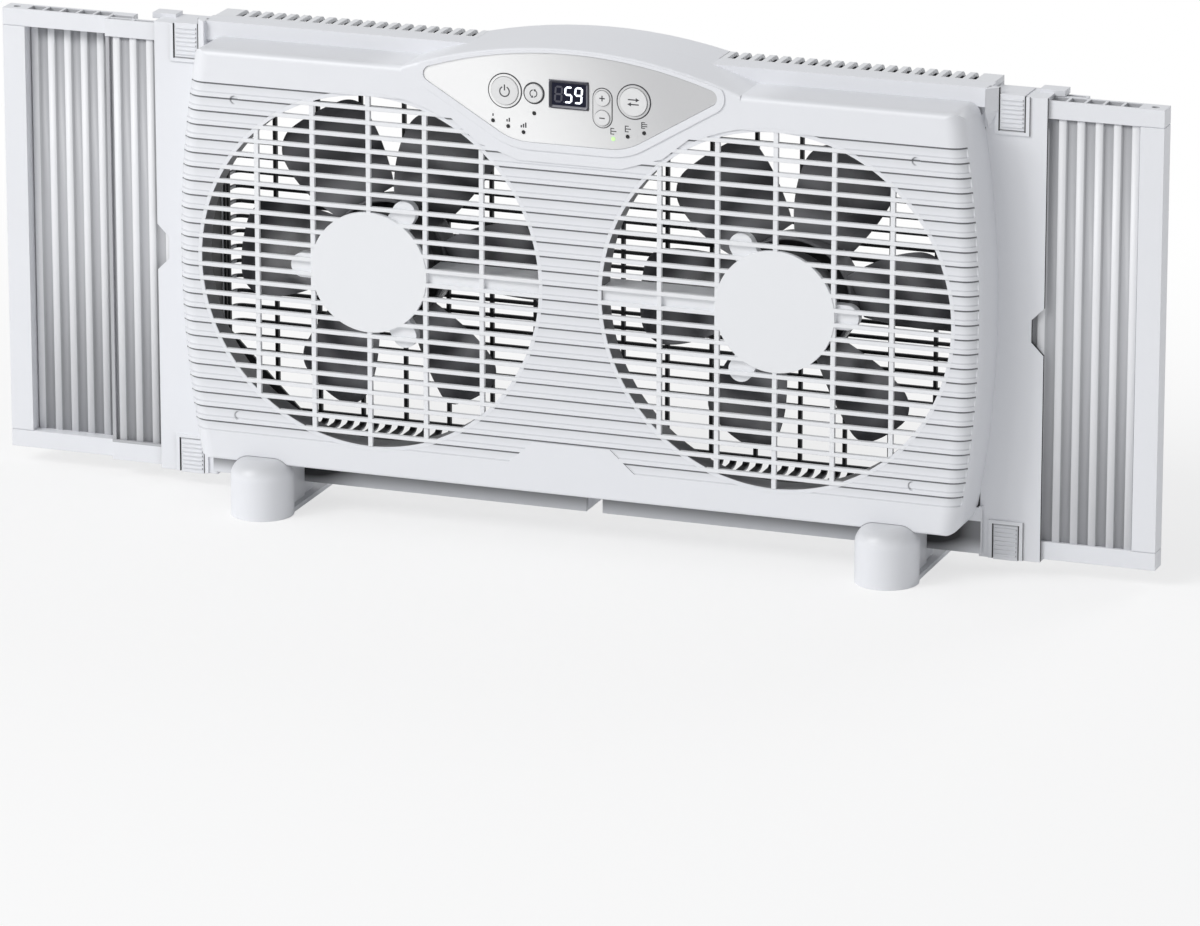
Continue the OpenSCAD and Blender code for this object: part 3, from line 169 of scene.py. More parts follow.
class Paint:
    """A principled material with helpers for coordinates and noise."""

    def __init__(self, name, colour, rough, **constants):
        self.material = bpy.data.materials.new(name)
        self.material.use_nodes = True
        self.tree = self.material.node_tree
        self.shader = self.tree.nodes["Principled BSDF"]
        self.shader.inputs["Base Color"].default_value = (*colour, 1)
        self.shader.inputs["Roughness"].default_value = rough
        self.material.diffuse_color = (*colour, 1)
        self.axes = {}
        for key, value in constants.items():
            self.shader.inputs[key.replace("_", " ")].default_value = value

    def _axis(self, kind, index):
        """One axis of an output of the texture coordinates."""
        if kind not in self.axes:
            c = self.tree.nodes.new("ShaderNodeTexCoord")
            s = self.tree.nodes.new("ShaderNodeSeparateXYZ")
            self.tree.links.new(c.outputs[kind], s.inputs[0])
            self.axes[kind] = [Sock(self.tree, o) for o in s.outputs]
        return self.axes[kind][index]

    def at(self, axis):
        """One object coordinate in metres."""
        return self._axis("Object", "xyz".index(axis))

    def drawn(self, axis):
        """One coordinate of the drawing, in metres."""
        return self.at(axis) - float(ORIGIN["xyz".index(axis)])

    def across(self, axis):
        """One coordinate of the piece's own UV map."""
        return self._axis("UV", "uv".index(axis))

    def facing(self, axis):
        """One component of the surface's direction in object coordinates."""
        return self._axis("Normal", "xyz".index(axis))

    def noise(self, scale, detail=3.0):
        """Noise of 0 to 1 on object coordinates, with scale cells a metre."""
        c = self.tree.nodes.new("ShaderNodeTexCoord")
        n = self.tree.nodes.new("ShaderNodeTexNoise")
        n.inputs["Scale"].default_value = scale
        n.inputs["Detail"].default_value = detail
        self.tree.links.new(c.outputs["Object"], n.inputs["Vector"])
        return Sock(self.tree, n.outputs[0])

    def to(self, name, sock):
        """Feeds one of the shader's sockets."""
        self.tree.links.new(sock.socket, self.shader.inputs[name])

    def relief(self, height, depth, radius=0.0):
        """A bump of that depth, in metres, over edges rounded by radius in the
        shading."""
        bump = self.tree.nodes.new("ShaderNodeBump")
        bump.inputs["Strength"].default_value = 1.0
        bump.inputs["Distance"].default_value = depth
        self.tree.links.new(height.socket, bump.inputs["Height"])
        if radius:
            bevel = self.tree.nodes.new("ShaderNodeBevel")
            bevel.samples = 6
            bevel.inputs["Radius"].default_value = radius
            self.tree.links.new(bevel.outputs[0], bump.inputs["Normal"])
        self.tree.links.new(bump.outputs[0], self.shader.inputs["Normal"])


# ---- plastics and their painted shade -------------------------------------

WHITE = (0.84, 0.85, 0.88)
GRAIN = 2200  # cells of the moulded grain in a metre
GRAIN_DEPTH = 0.00001


def moulded(name, colour, rough, radius, shade=None, dark=None):
    """Moulded plastic: rounded edges, a fine grain and a faint broad mottle.

    Where shade(paint) is 1 the colour goes over to dark, for rooms that light
    hardly reaches.
    """
    p = Paint(name, colour, rough)
    mottle = p.noise(9.0, 2.0).step(0.25, 0.75)
    base = mottle.mix(tuple(c * 0.985 for c in colour), colour)
    if shade:
        base = shade(p).mix(base, dark)
    p.to("Base Color", base)
    grain = p.noise(GRAIN, 2.0)
    p.to("Roughness", grain * 0.08 + (rough - 0.04))
    p.relief(grain, GRAIN_DEPTH, radius)
    return p


# The shades below measure in metres from the drawing's origin. Places along X
# count on both sides of it.
PLATE_MID = 0.150  # middle height of the side plates
CLIP_END = 0.1272  # from there up and down to the clips' inner ends
CLIP_INNER = (0.2687, 0.2695)  # the gaps beside the clips
CLIP_OUTER = (0.2855, 0.2864)
SKIN_X = 0.2869  # outer edge of the side plates' front skin
BAY_X = 0.2603  # the fan bay's room
BAY_Y = (-0.0076, 0.0117)
BAY_Z = (0.0328, 0.2785)
BASKET_X = 0.2609  # the rear basket's room
BASKET_Z = (0.0322, 0.3010)
FOOT_X = 0.2120
PLINTH_END = 0.2620
PLINTH_TOP = 0.0240


def clip_gap_shade(p):
    """Painted shade: 1 in the narrow gaps beside each clip and, weaker, under its inner end."""
    x = p.drawn("x").abs()
    height = (p.drawn("z") - PLATE_MID).abs()
    beside = x.within(*CLIP_INNER, 0.0001) + x.within(*CLIP_OUTER, 0.0001)
    beside = beside * height.past(CLIP_END + 0.0001, 0.0001)
    under = height.within(CLIP_END, CLIP_END + 0.0008, 0.0001)
    under = under * x.within(CLIP_INNER[0], CLIP_OUTER[1]) * 0.45
    return (beside + under) * (1 - p.drawn("y").past(0.0010, 0.0005))


def plinth_shade(p):
    """Soft shade on the plinth's front, under the cover's lower edge and beside
    each foot's right side."""
    x = p.drawn("x")
    z = p.drawn("z")
    front = 1 - x.abs().step(PLINTH_END - 0.0005, PLINTH_END)
    front = (1 - z.step(PLINTH_TOP - 0.0005, PLINTH_TOP)) * front
    front = front * (1 - p.drawn("y").step(0.0, 0.001))
    feet = 0.0
    for foot, start, reach in ((-FOOT_X, -0.1930, 0.038), (FOOT_X, 0.2310, 0.030)):
        feet = (1 - (x - start).step(0.0, reach)) * (x - foot).past(0.0, 0.004) + feet
    return front * (z.step(0.001, 0.0135) * 0.74 + feet * 0.62)


def bay(p):
    """Painted shade: 1 inside the fan bay's own walls, which stand in their own
    shade, in the gaps round the clips and on the edge of the side plates' front
    skin, where the gap beyond lies in shadow, with the plinth's softer shade."""
    x = p.drawn("x").abs()
    y = p.drawn("y")
    room = (1 - x.past(BAY_X)) * y.within(*BAY_Y) * p.drawn("z").within(*BAY_Z)
    edge = x.past(SKIN_X, 0.0001) * (1 - y.past(0.0020, 0.0001))
    edge = edge * p.facing("x").abs().step(0.3, 0.5)
    return (room + clip_gap_shade(p) + edge + plinth_shade(p)).clamp()


def basket(p):
    """Painted shade: 1 inside the rear basket and on the slats, but not on its back or outside."""
    x = p.drawn("x").abs()
    inner = (1 - x.past(BASKET_X, 0.0003)) * p.drawn("z").within(*BASKET_Z)
    side_wall = p.facing("x").abs().step(0.6, 0.9) * x.step(0.2585, 0.2590)
    return inner * (1 - p.facing("y").step(0.3, 0.6)) * (1 - side_wall)


def ring_inside(p):
    """Painted shade: 1 on the rings round the openings behind the bars, which lie in shadow."""
    return p.drawn("y").step(-0.0393, -0.0385)


RIB_PITCH = 0.00935
RIB_HALF = 0.00125
RIBS = 26
RIB_SPAN = (0.0405, 0.2745)  # heights between which the fields lie
SCREW_X = 0.228  # the round marks over the cover's screws
SCREW_Z = (0.0540, 0.2632)
SCREW_RING = (0.0021, 0.0029)  # radii of the crescents in them


def rib_lines(p):
    """Painted shade: a dark line under each rib, a soft shade below it and a faint line over it."""
    z = p.drawn("z")
    lowest = AXIS_Z * MM - (RIBS - 1) / 2 * RIB_PITCH - RIB_HALF
    k = ((z - lowest) / RIB_PITCH).fract()
    under = k.step(0.845, 0.90) * (1 - k.step(0.985, 0.999))
    field = k.step(0.35, 1.0) * 0.14
    over = k.within(0.275, 0.345, 0.02) * 0.24
    return (under + field + over) * z.within(*RIB_SPAN)


def screw_crescent_shade(p):
    """Painted shade: a crescent at the left of each round mark over the cover's screws."""
    right = p.drawn("x").step(-0.001, 0.001) * 2 - 1
    across = p.drawn("x") - right * SCREW_X
    marks = 0.0
    for height in SCREW_Z:
        up = p.drawn("z") - height
        ring = (across * across + up * up).power(0.5).within(*SCREW_RING, 0.0003)
        marks = ring * (1 - across.step(-0.0016, 0.0008)) + marks
    return marks * 0.62 * (1 - p.drawn("y").step(-0.0300, -0.0290))


def cover_shade(p):
    """The cover's painted shade: lines along the ribs, the fields' left ends by
    the badge, the crescents over the screws and the ledge beside the hood."""
    side = p.drawn("x").abs()
    recess = p.drawn("y").within(-0.0400, -0.0343)
    ends = p.facing("x").step(0.35, 0.5) * (1 - side.step(0.095, 0.100))
    ledge = p.facing("z").step(0.5, 0.9) * p.drawn("z").step(0.280, 0.284)
    ledge = ledge * side.step(0.115, 0.145) * 0.17
    return (recess * (rib_lines(p) + ends) + ledge + screw_crescent_shade(p)).clamp()


def foot_top(p):
    """1 on a foot's top, which the cover shades."""
    return p.facing("z").step(0.1, 0.8) * 0.45


RAIL = 0.0112  # height of the rails at a panel frame's ends


def cells(name, bars):
    """Shade for a panel's frame: on the walls inside the open cells of its
    rails and, with bars, on the thin bars between the rails."""
    low, high = ([float(c) for c in corner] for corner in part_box(name))
    mid = (low[2] + high[2]) / 2
    half = (high[2] - low[2]) / 2

    def shade(p):
        up = (p.at("z") - mid).abs()
        rails = up.step(half - RAIL, half - RAIL + 0.0002)
        depth = (1 - up.step(half - 0.0006, half - 0.0003)) * rails
        depth = depth * p.at("y").within(low[1] + 0.0015, high[1] - 0.0010) * 0.36
        depth = depth * p.at("x").within(low[0] + 0.0008, high[0] - 0.0008)
        if bars:
            depth = depth + (1 - up.past(half - RAIL - 0.0005, 0.0001)) * 0.44
        return depth.clamp()

    return shade


def side_gaps(p):
    """Painted shade: 0.9 on the clips' side walls, which stand in narrow gaps."""
    wall = p.facing("x").abs().step(0.6, 0.8)
    return wall * (1 - p.drawn("y").step(-0.0002, 0.0004)) * 0.9


def reflection_streaked(name):
    """Dark plastic with faint streaks that run round each fan's axis, a painted
    reflection, and a soft gloss."""
    p = Paint(name, (0.08, 0.08, 0.088), 0.26)
    x = p.drawn("x").abs() - FAN_X * MM
    z = p.drawn("z") - AXIS_Z * MM
    r = (x * x + z * z).power(0.5)
    slow = p.noise(14.0, 2.0)
    wide = (r * 83 - slow * 5.0).sin() * 0.3 + 0.7
    fine = (r * 190 + slow * 9.0).sin() * 0.5 + 0.5
    p.to("Base Color", (fine * wide).mix((0.07, 0.07, 0.076), (0.33, 0.33, 0.345)))
    p.relief(p.noise(1800, 2.0), GRAIN_DEPTH, 0.0006)
    return p


def grille():
    """The rear grille: mid grey, with a painted shade, near black, inside its basket and pale on
    the basket's top.
    """
    p = moulded(
        "grille_plastic", (0.60, 0.61, 0.63), 0.5, 0.0006, basket, (0.016, 0.016, 0.018)
    )
    below = Sock(p.tree, p.shader.inputs["Base Color"].links[0].from_socket)
    top = p.drawn("z").past(BASKET_Z[1] + 0.0001, 0.0003)
    p.to("Base Color", top.mix(below, (0.82, 0.83, 0.85)))
    return p


RIDGE = 0.40  # part of each pleat's pitch that its flat ridge takes


def sheet():
    """The panels' sheets: pale ridges and valleys greyed by a painted shade."""
    p = Paint("sheet_plastic", (0.5, 0.51, 0.535), 0.42)
    from_ridge = (p.across("u").fract() - 0.5).abs()
    ridge = 1 - from_ridge.past(RIDGE / 2, 0.012)
    p.to("Base Color", ridge.mix((0.49, 0.495, 0.515), (0.86, 0.865, 0.885)))
    return p


def bezel():
    """The display's frame: dark, with a painted highlight where it faces up and left."""
    dark = (0.05, 0.05, 0.065)
    p = Paint("bezel_plastic", dark, 0.3)
    lit = (p.facing("z") - p.facing("x")).step(0.2, 0.8)
    p.to("Base Color", lit.mix(dark, (0.24, 0.24, 0.27)))
    return p


def lens():
    """The lamps: dark, but for one that shines green."""
    off = (0.012, 0.012, 0.013)
    p = Paint("lamp_lens", off, 0.2, Emission_Strength=0.55)
    lit = p.drawn("x").within(0.0275, 0.0311)
    p.to("Base Color", lit.mix(off, (0.5, 0.8, 0.36)))
    p.to("Emission Color", lit.mix((0, 0, 0), (0.5, 1.0, 0.25)))
    return p


def film():
    """The control plate's film: a painted sheen makes it paler to the left and below."""
    p = Paint("plate_film", (0.7, 0.7, 0.7), 0.32)
    sheen = (p.drawn("x") + (p.drawn("z") - 0.285) * 0.6).step(-0.06, 0.075)
    p.to("Base Color", sheen.mix((0.96, 0.96, 0.955), (0.60, 0.60, 0.605)))
    p.relief(p.noise(3500, 1.0), 0.000006, 0.0004)
    return p


def board():
    """The circuit board: green with a pattern of lighter fields."""
    green = (0.03, 0.2, 0.08)
    p = Paint("board_laminate", green, 0.45)
    traces = (p.at("x") * 2600).sin() * (p.at("z") * 1900).sin()
    p.to("Base Color", traces.step(-0.2, 0.2).mix(green, (0.05, 0.28, 0.12)))
    return p


def motor_steel():
    """The motors' dull steel with a slight grain."""
    p = Paint("motor_steel", (0.28, 0.28, 0.29), 0.4, Metallic=0.6)
    p.relief(p.noise(1500), 0.00002, 0.0005)
    return p


def winding():
    """The motors' copper with fine grooves as of its turns."""
    p = Paint("winding", (0.62, 0.3, 0.12), 0.35, Metallic=1.0)
    p.relief((p.at("y") * 9000).sin(), 0.00012)
    return p


# Moulded plastics: colour, roughness and, in metres, how far the shading rounds
# the edges; then, where there is one, the shade and the colour it goes over to.
MOULDED = {
    "white_plastic": (WHITE, 0.38, 0.0005),
    "cover_plastic": (WHITE, 0.38, 0.0003, cover_shade, (0.16, 0.165, 0.175)),
    "clip_plastic": (WHITE, 0.38, 0.0007, side_gaps, (0.03, 0.03, 0.032)),
    "guard_plastic": ((0.87, 0.88, 0.90), 0.33, 0.0005),
    "bay_plastic": (WHITE, 0.38, 0.0005, bay, (0.02, 0.02, 0.022)),
    "ring_plastic": (WHITE, 0.38, 0.0003, ring_inside, (0.17, 0.17, 0.178)),
    "foot_plastic": (WHITE, 0.38, 0.0005, foot_top, (0.42, 0.425, 0.435)),
    "button_plastic": ((0.80, 0.80, 0.80), 0.3, 0.0009),
    "black_rubber": ((0.02, 0.02, 0.02), 0.6, 0.0006),
}
SIDES = {"left": -1, "right": 1}  # with the sign of X on each
STAGES = ("left_outer", "left_inner", "right_outer", "right_inner")


def painted_materials():
    """One material for each slot of the record, with those of SPECIAL."""
    m = {name: moulded(name, *values) for name, values in MOULDED.items()}
    for stage in STAGES:
        shade = cells(f"{stage}_frame", "inner" in stage)
        m[stage] = moulded(f"{stage}_plastic", WHITE, 0.4, 0.0004, shade, (0.05, 0.05, 0.055))
    m["grille_plastic"] = grille()
    m["sheet_plastic"] = sheet()
    m["bezel_plastic"] = bezel()
    m["blade_plastic"] = reflection_streaked("blade_plastic")
    m["lamp_lens"] = lens()
    m["dark_window"] = Paint("dark_window", (0.003, 0.004, 0.02), 0.3, Specular_IOR_Level=0.25)
    m["plate_film"] = film()
    m["board_laminate"] = board()
    m["steel"] = Paint("steel", (0.62, 0.62, 0.63), 0.28, Metallic=1.0)
    m["motor_steel"] = motor_steel()
    m["winding"] = winding()
    m["bronze"] = Paint("bronze", (0.6, 0.42, 0.2), 0.35, Metallic=1.0)
    return {key: paint.material for key, paint in m.items()}


MATERIALS = painted_materials()
SLOT_OF = {s["node"]: s["material_slot"] for s in frame["record"]["subparts"]}
# Pieces with a shade of their own, painted over their slot's material.
SPECIAL = {"front_cover": "cover_plastic", "main_housing": "bay_plastic"}
SPECIAL.update({f"{stage}_frame": stage for stage in STAGES})
for side in SIDES:
    SPECIAL[f"{side}_collar"] = "ring_plastic"
    SPECIAL[f"{side}_foot"] = "foot_plastic"
    SPECIAL[f"top_{side}_clip"] = "clip_plastic"
    SPECIAL[f"bottom_{side}_clip"] = "clip_plastic"
for name, obj in nodes.items():
    for material_slot in obj.material_slots:
        material_slot.material = MATERIALS[SPECIAL.get(name, SLOT_OF[name])]


# ---- meshes ---------------------------------------------------------------


def mesh(name, verts, faces, material, body, smooth=True):
    """A new piece from whole arrays of points in millimetres and of faces."""
    data = bpy.data.meshes.new(name)
    verts = place(verts)
    if isinstance(faces, np.ndarray):
        data.vertices.add(len(verts))
        data.vertices.foreach_set("co", verts.ravel())
        count, corners = faces.shape
        data.loops.add(count * corners)
        data.loops.foreach_set("vertex_index", faces.ravel().astype(np.int32))
        data.polygons.add(count)
        data.polygons.foreach_set("loop_start", np.arange(count, dtype=np.int32) * corners)
        data.update(calc_edges=True)
    else:
        data.from_pydata(verts.tolist(), [], faces)
    data.validate()
    if smooth:
        data.polygons.foreach_set("use_smooth", np.ones(len(data.polygons), bool))
    data.update()
    obj = bpy.data.objects.new(name, data)
    bpy.context.scene.collection.objects.link(obj)
    data.materials.append(material)
    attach(obj, body)
    return obj


def grid_faces(rows, cols, wrap_rows=False, wrap_cols=False):
    """Quads over a grid of rows by cols points, closed where asked."""
    r = np.arange(rows if wrap_rows else rows - 1)
    c = np.arange(cols if wrap_cols else cols - 1)
    r, c = np.meshgrid(r, c, indexing="ij")
    r2, c2 = (r + 1) % rows, (c + 1) % cols
    corners = [r * cols + c, r2 * cols + c, r2 * cols + c2, r * cols + c2]
    return np.stack(corners, -1).reshape(-1, 4)


def join(parts):
    """One array of points and one of quads from several pairs."""
    verts, faces, n = [], [], 0
    for v, f in parts:
        verts.append(np.asarray(v).reshape(-1, 3))
        faces.append(np.asarray(f) + n)
        n += len(verts[-1])
    return np.concatenate(verts), np.concatenate(faces)


def polar(radius, angle):
    """Points in X and Z from a radius and an angle in degrees, anticlockwise."""
    a = np.radians(angle)
    return np.stack([radius * np.cos(a), radius * np.sin(a)], -1)


# ---- impellers ------------------------------------------------------------

TIP_R = 105.0  # how far the blades reach from the axis
TIP_CORNERS = (12.0, 18.0)  # radii of a blade's two outer corners
CHORD = 28.5  # half a blade's width at its tip
ROOT_R = 38.6  # where the blades start, inside the cup's wall
BLADES = 6
PITCH_AT = ([38, 70, TIP_R], [37, 28, 21])  # radii, and the pitch in degrees there
CAMBER = 4.5  # how far the long edges bend back
HALF_THICK = 1.1
TURN = {"left": 2.5, "right": 6.5}  # how far each fan stands turned, degrees
CUP_R = 40.5
CUP_RIM = 1.6  # radius of the cup's rounded rim


def tip_outline(t):
    """How far out the blade reaches at t across it: a circle on the fan's own
    axis, with round corners that touch that circle."""
    c = np.where(t > 0, TIP_CORNERS[1], TIP_CORNERS[0])
    b = CHORD - c
    a = np.sqrt((TIP_R - c) ** 2 - b**2)
    arc = np.sqrt(np.maximum(TIP_R**2 - t**2, 0))
    round_end = a + np.sqrt(np.maximum(c**2 - (np.abs(t) - b) ** 2, 0))
    return np.where(np.abs(t) < b * TIP_R / (TIP_R - c), arc, round_end)


def blade_grid():
    """One blade along X about the fan's axis, as a closed skin.

    Lines run from the root to the tip outline. Each point's depth comes from
    a pitch that falls from 37 degrees at the hub to 21 at the tip, plus a
    camber that bends both long edges back. The skin is 2.2 mm thick in the
    middle and thins to its edges.
    """
    rows, cols = 44, 40
    v = np.sin(np.linspace(-1, 1, cols) * math.pi / 2)
    u = np.linspace(0, 1, rows)[:, None] ** 0.92
    root = -2.5 + 16.5 * v
    tip = CHORD * v
    x = ROOT_R + (tip_outline(tip) - ROOT_R) * u
    t = root + (tip - root) * np.sin(u * math.pi / 2) ** 0.9
    r = np.hypot(x, t)
    pitch = np.radians(np.interp(r, *PITCH_AT))
    y = 1.5 - t * np.tan(pitch)
    y = y + CAMBER * (t / CHORD) ** 2 + 0.9 * u * (1 - u) * np.cos(v * 3)
    thick = HALF_THICK * np.sqrt(np.clip(1 - np.abs(v) ** 5, 0, 1))
    thick = thick * np.sqrt(np.clip(1.02 - u**14, 0, 1))
    front = np.stack([x, y - thick, t], -1)
    back = np.stack([x, y + thick, t], -1)[:, ::-1]
    grid = np.concatenate([front, back], axis=1)
    return grid.reshape(-1, 3), grid_faces(rows, 2 * cols, wrap_cols=True)


def lathe(profile, steps=128):
    """A profile of radius and depth turned about the fan's axis."""
    p = np.asarray(profile, float)
    a = np.linspace(0, 2 * math.pi, steps, endpoint=False)[:, None]
    depth = np.broadcast_to(p[:, 1], (steps, len(p)))
    grid = np.stack([p[:, 0] * np.cos(a), depth, p[:, 0] * np.sin(a)], -1)
    return grid.reshape(-1, 3), grid_faces(steps, len(p), wrap_rows=True)


def turned(points, angle):
    """Points turned anticlockwise about the fan's axis, seen from the front."""
    c, s = math.cos(math.radians(angle)), math.sin(math.radians(angle))
    x, y, z = points[:, 0], points[:, 1], points[:, 2]
    return np.stack([x * c - z * s, y, x * s + z * c], -1)


def impeller(side, sign):
    """Six twisted blades on a cup with a rounded rim and a sleeve for the
    shaft, in place of the CAD's."""
    v, f = blade_grid()
    parts = [(turned(v, TURN[side] + 360 / BLADES * k), f) for k in range(BLADES)]
    cup = [[38.2, -7.0], [38.6, -8.1], [39.6, -8.1], [40.3, -7.6], [CUP_R, -6.6], [CUP_R, 12.3]]
    for b in np.linspace(0, math.pi / 2, 7)[1:]:
        cup.append([CUP_R - CUP_RIM + CUP_RIM * math.cos(b), 12.3 + CUP_RIM * math.sin(b)])
    cup += [[9.0, 13.9], [9.0, 13.0], [38.0, 11.4], [38.2, 10.5], [38.2, -7.0]]
    sleeve = [[8.5, 13.9], [8.5, -3.0], [4.05, -3.0], [4.05, 13.9], [8.5, 13.9]]
    points, faces = join(parts + [lathe(cup), lathe(sleeve, 64)])
    points = points + [FAN_X * sign, 0, AXIS_Z]
    slot = "blade_plastic"
    obj = mesh(f"{side}_twisted_blades", points, faces, MATERIALS[slot], f"{side}_fan")
    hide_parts(f"{side}_impeller")


for side, sign in SIDES.items():
    impeller(side, sign)


# ---- pleated sheets -------------------------------------------------------

VALLEY = 1.2  # how far the valleys lie behind the ridges
SLOPE = 0.7  # width of a slope between them
SHEET = 0.9  # thickness
EDGE = 0.05  # least distance from the ends and from the CAD sheet's front


def pleated(name, first, pitch, body):
    """A side panel's sheet with flat ridges, in place of the CAD's waves.

    Across, the front goes from flat ridges to flat valleys 1.2 mm behind them
    over short slopes; `first` is one ridge's middle. Its own UV map counts
    the pleats across, so that each ridge's middle lies at a half.
    """
    low, high = ((np.array(c) - ORIGIN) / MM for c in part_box(name))
    half = RIDGE * pitch / 2
    offsets = np.array([-half - SLOPE, -half, half, half + SLOPE, pitch / 2])
    n0 = int(math.floor((low[0] - first) / pitch)) - 1
    n1 = int(math.ceil((high[0] - first) / pitch)) + 1
    x = np.concatenate([first + n * pitch + offsets for n in range(n0, n1)])
    x = x[(x > low[0] + EDGE) & (x < high[0] - EDGE)]
    x = np.unique(np.concatenate([[low[0], high[0]], x]))
    off = np.abs((x - first + pitch / 2) % pitch - pitch / 2)
    y = low[1] + EDGE + VALLEY * np.clip((off - half) / SLOPE, 0, 1)
    line = np.concatenate([np.stack([x, y], -1), np.stack([x, y + SHEET], -1)[::-1]])
    ends = [np.column_stack([line, np.full(len(line), z)]) for z in (low[2], high[2])]
    points = np.concatenate(ends)
    m = len(x)
    i = np.arange(m - 1)
    caps = np.stack([i, 2 * m - 1 - i, 2 * m - 2 - i, i + 1], -1)
    faces = np.concatenate([grid_faces(2, 2 * m, wrap_cols=True), caps[:, ::-1], caps + 2 * m])
    slot = "sheet_plastic"
    obj = mesh(f"{name}_pleats", points, faces, MATERIALS[slot], body, smooth=False)
    data = obj.data
    corner = np.empty(len(data.loops), np.int32)
    data.loops.foreach_get("vertex_index", corner)
    points = points[corner]
    uv = np.stack([(points[:, 0] - first) / pitch + 0.5, points[:, 2] / 300], -1)
    data.uv_layers.new(name="UVMap").data.foreach_set("uv", uv.ravel())
    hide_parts(name)


pleated("left_outer_sheet", -380.4, 11.6, "left_outer")
pleated("left_inner_sheet", -328.4, 11.65, "left_inner")
pleated("right_inner_sheet", 320.6, 11.75, "right_inner")
pleated("right_outer_sheet", 320.6, 11.75, "right_outer")


# ---- flat marks -----------------------------------------------------------

MARK = 0.06  # thickness of the marks on the display and the keys
PLATE_MARK = 0.05  # and of those on the control plate


def prism(outline, front, back):
    """Points and faces of a flat piece from its outline in X and Z."""
    o = np.asarray(outline, float)
    n = len(o)
    v = [[x, front, z] for x, z in o] + [[x, back, z] for x, z in o]
    f = [list(range(n)), list(range(2 * n - 1, n - 1, -1))]
    f += [[i, i + n, (i + 1) % n + n, (i + 1) % n] for i in range(n)]
    return v, f


def marks(name, outlines, front, depth, material, body, slot):
    """One piece from several flat outlines."""
    verts, faces = [], []
    for o in outlines:
        v, f = prism(o, front, front + depth)
        faces += [[i + len(verts) for i in face] for face in f]
        verts += v
    mesh(name, verts, faces, material, body, smooth=False)


def bar(x0, z0, x1, z1, w):
    """Outline of a straight stroke with square ends."""
    d = np.array([x1 - x0, z1 - z0], float)
    d /= np.hypot(*d)
    n = np.array([-d[1], d[0]]) * w / 2
    a, b = np.array([x0, z0]), np.array([x1, z1])
    return [a - n, b - n, b + n, a + n]


def stroke_arc(cx, cz, r, start, end, w, steps=40):
    """Quads along an arc-shaped stroke, as a list of outlines."""
    a = np.linspace(start, end, steps + 1)
    inner = polar(r - w / 2, a) + [cx, cz]
    outer = polar(r + w / 2, a) + [cx, cz]
    return [[inner[i], outer[i], outer[i + 1], inner[i + 1]] for i in range(steps)]


# ---- display --------------------------------------------------------------


def rounded(w, h, r):
    """Outline of a rectangle with round corners about the origin."""
    out = []
    for k, (sx, sz) in enumerate(((1, 1), (-1, 1), (-1, -1), (1, -1))):
        corner = polar(r, np.linspace(90 * k, 90 * k + 90, 8))
        out.append(corner + [sx * (w / 2 - r), sz * (h / 2 - r)])
    return np.concatenate(out)


def surround():
    """The display's frame: rings of a rounded outline that slope down to the
    window, in place of the CAD's square-cornered one."""
    low, high = ((np.array(c) - ORIGIN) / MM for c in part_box("display_frame"))
    w, h = high[0] - low[0], high[2] - low[2]
    mid = (low + high) / 2
    front, back = low[1], high[1]
    rings = []
    for inset, r, y in (
        (0.0, 2.2, back),
        (0.0, 2.2, front + 0.25),
        (0.12, 2.1, front + 0.07),
        (0.3, 2.0, front),
        (0.75, 1.8, front),
        (0.85, 1.7, front + 0.06),
        (1.9, 0.9, front + 0.72),
        (2.0, 0.8, front + 0.95),
        (2.0, 0.8, back),
    ):
        o = rounded(w - 2 * inset, h - 2 * inset, r)
        rings.append(np.column_stack([o[:, 0] + mid[0], np.full(len(o), y), o[:, 1] + mid[2]]))
    faces = grid_faces(len(rings), len(rings[0]), wrap_rows=True, wrap_cols=True)
    points, slot = np.concatenate(rings), "bezel_plastic"
    obj = mesh("display_surround", points, faces, MATERIALS[slot], "housing", smooth=False)
    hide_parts("display_frame")


DIGIT_W, DIGIT_H = 4.3, 9.6
DIGIT_STROKE = 1.25
DIGIT_SLANT = 0.07  # how far to the right a digit leans for each mm up
SEGMENT_GAP = 0.25
DISPLAY = (-0.25, 286.05)  # the window's middle
# Each segment: how many halves of the digit's width and quarters of its height
# its middle lies from the digit's, and whether it stands upright.
SEGMENT = {
    "a": (0, 2, False),
    "b": (1, 1, True),
    "c": (1, -1, True),
    "d": (0, -2, False),
    "e": (-1, -1, True),
    "f": (-1, 1, True),
    "g": (0, 0, False),
}


def segment(cx, cz, length, w, upright):
    """One display segment: a six-sided bar, along X or upright."""
    h, t = length / 2, w / 2
    pts = np.array([[-h, 0], [-h + t, -t], [h - t, -t], [h, 0], [h - t, t], [-h + t, t]])
    if upright:
        pts = pts[:, ::-1]
    return pts + [cx, cz]


def digit(segments, cx, cz):
    """Outlines of a slanting digit's segments about its middle."""
    out = []
    for halves, quarters, upright in (SEGMENT[s] for s in segments):
        length = DIGIT_H / 2 if upright else DIGIT_W
        x, z = halves * DIGIT_W / 2, quarters * DIGIT_H / 4
        pts = segment(x, z, length - SEGMENT_GAP, DIGIT_STROKE, upright)
        pts[:, 0] += pts[:, 1] * DIGIT_SLANT
        out.append(pts + [cx, cz])
    return out


def display():
    """A lit 5 and 9, with an unlit 8 and point at their left."""
    lit = Paint("digit_light", (0.9, 0.93, 1.0), 0.4, Emission_Strength=1.0)
    lit.shader.inputs["Emission Color"].default_value = (0.86, 0.92, 1.0, 1)
    unlit = Paint("digit_unlit", (0.075, 0.075, 0.10), 0.5)
    face = COVER_FRONT + 0.04
    x, z = DISPLAY
    digits = digit("afgcd", x - 0.4, z) + digit("abfgcd", x + 6.3, z)
    marks("lit_digits", digits, face, MARK, lit.material, "housing", "lamp_lens")
    left, right, low, high = x - 3.9, x - 3.1, z - 5.3, z - 4.5
    point = [(left, low), (right, low), (right, high), (left, high)]
    digits = digit("abcdefg", x - 7.0, z) + [point]
    marks("unlit_digit", digits, face, MARK, unlit.material, "housing", "dark_window")
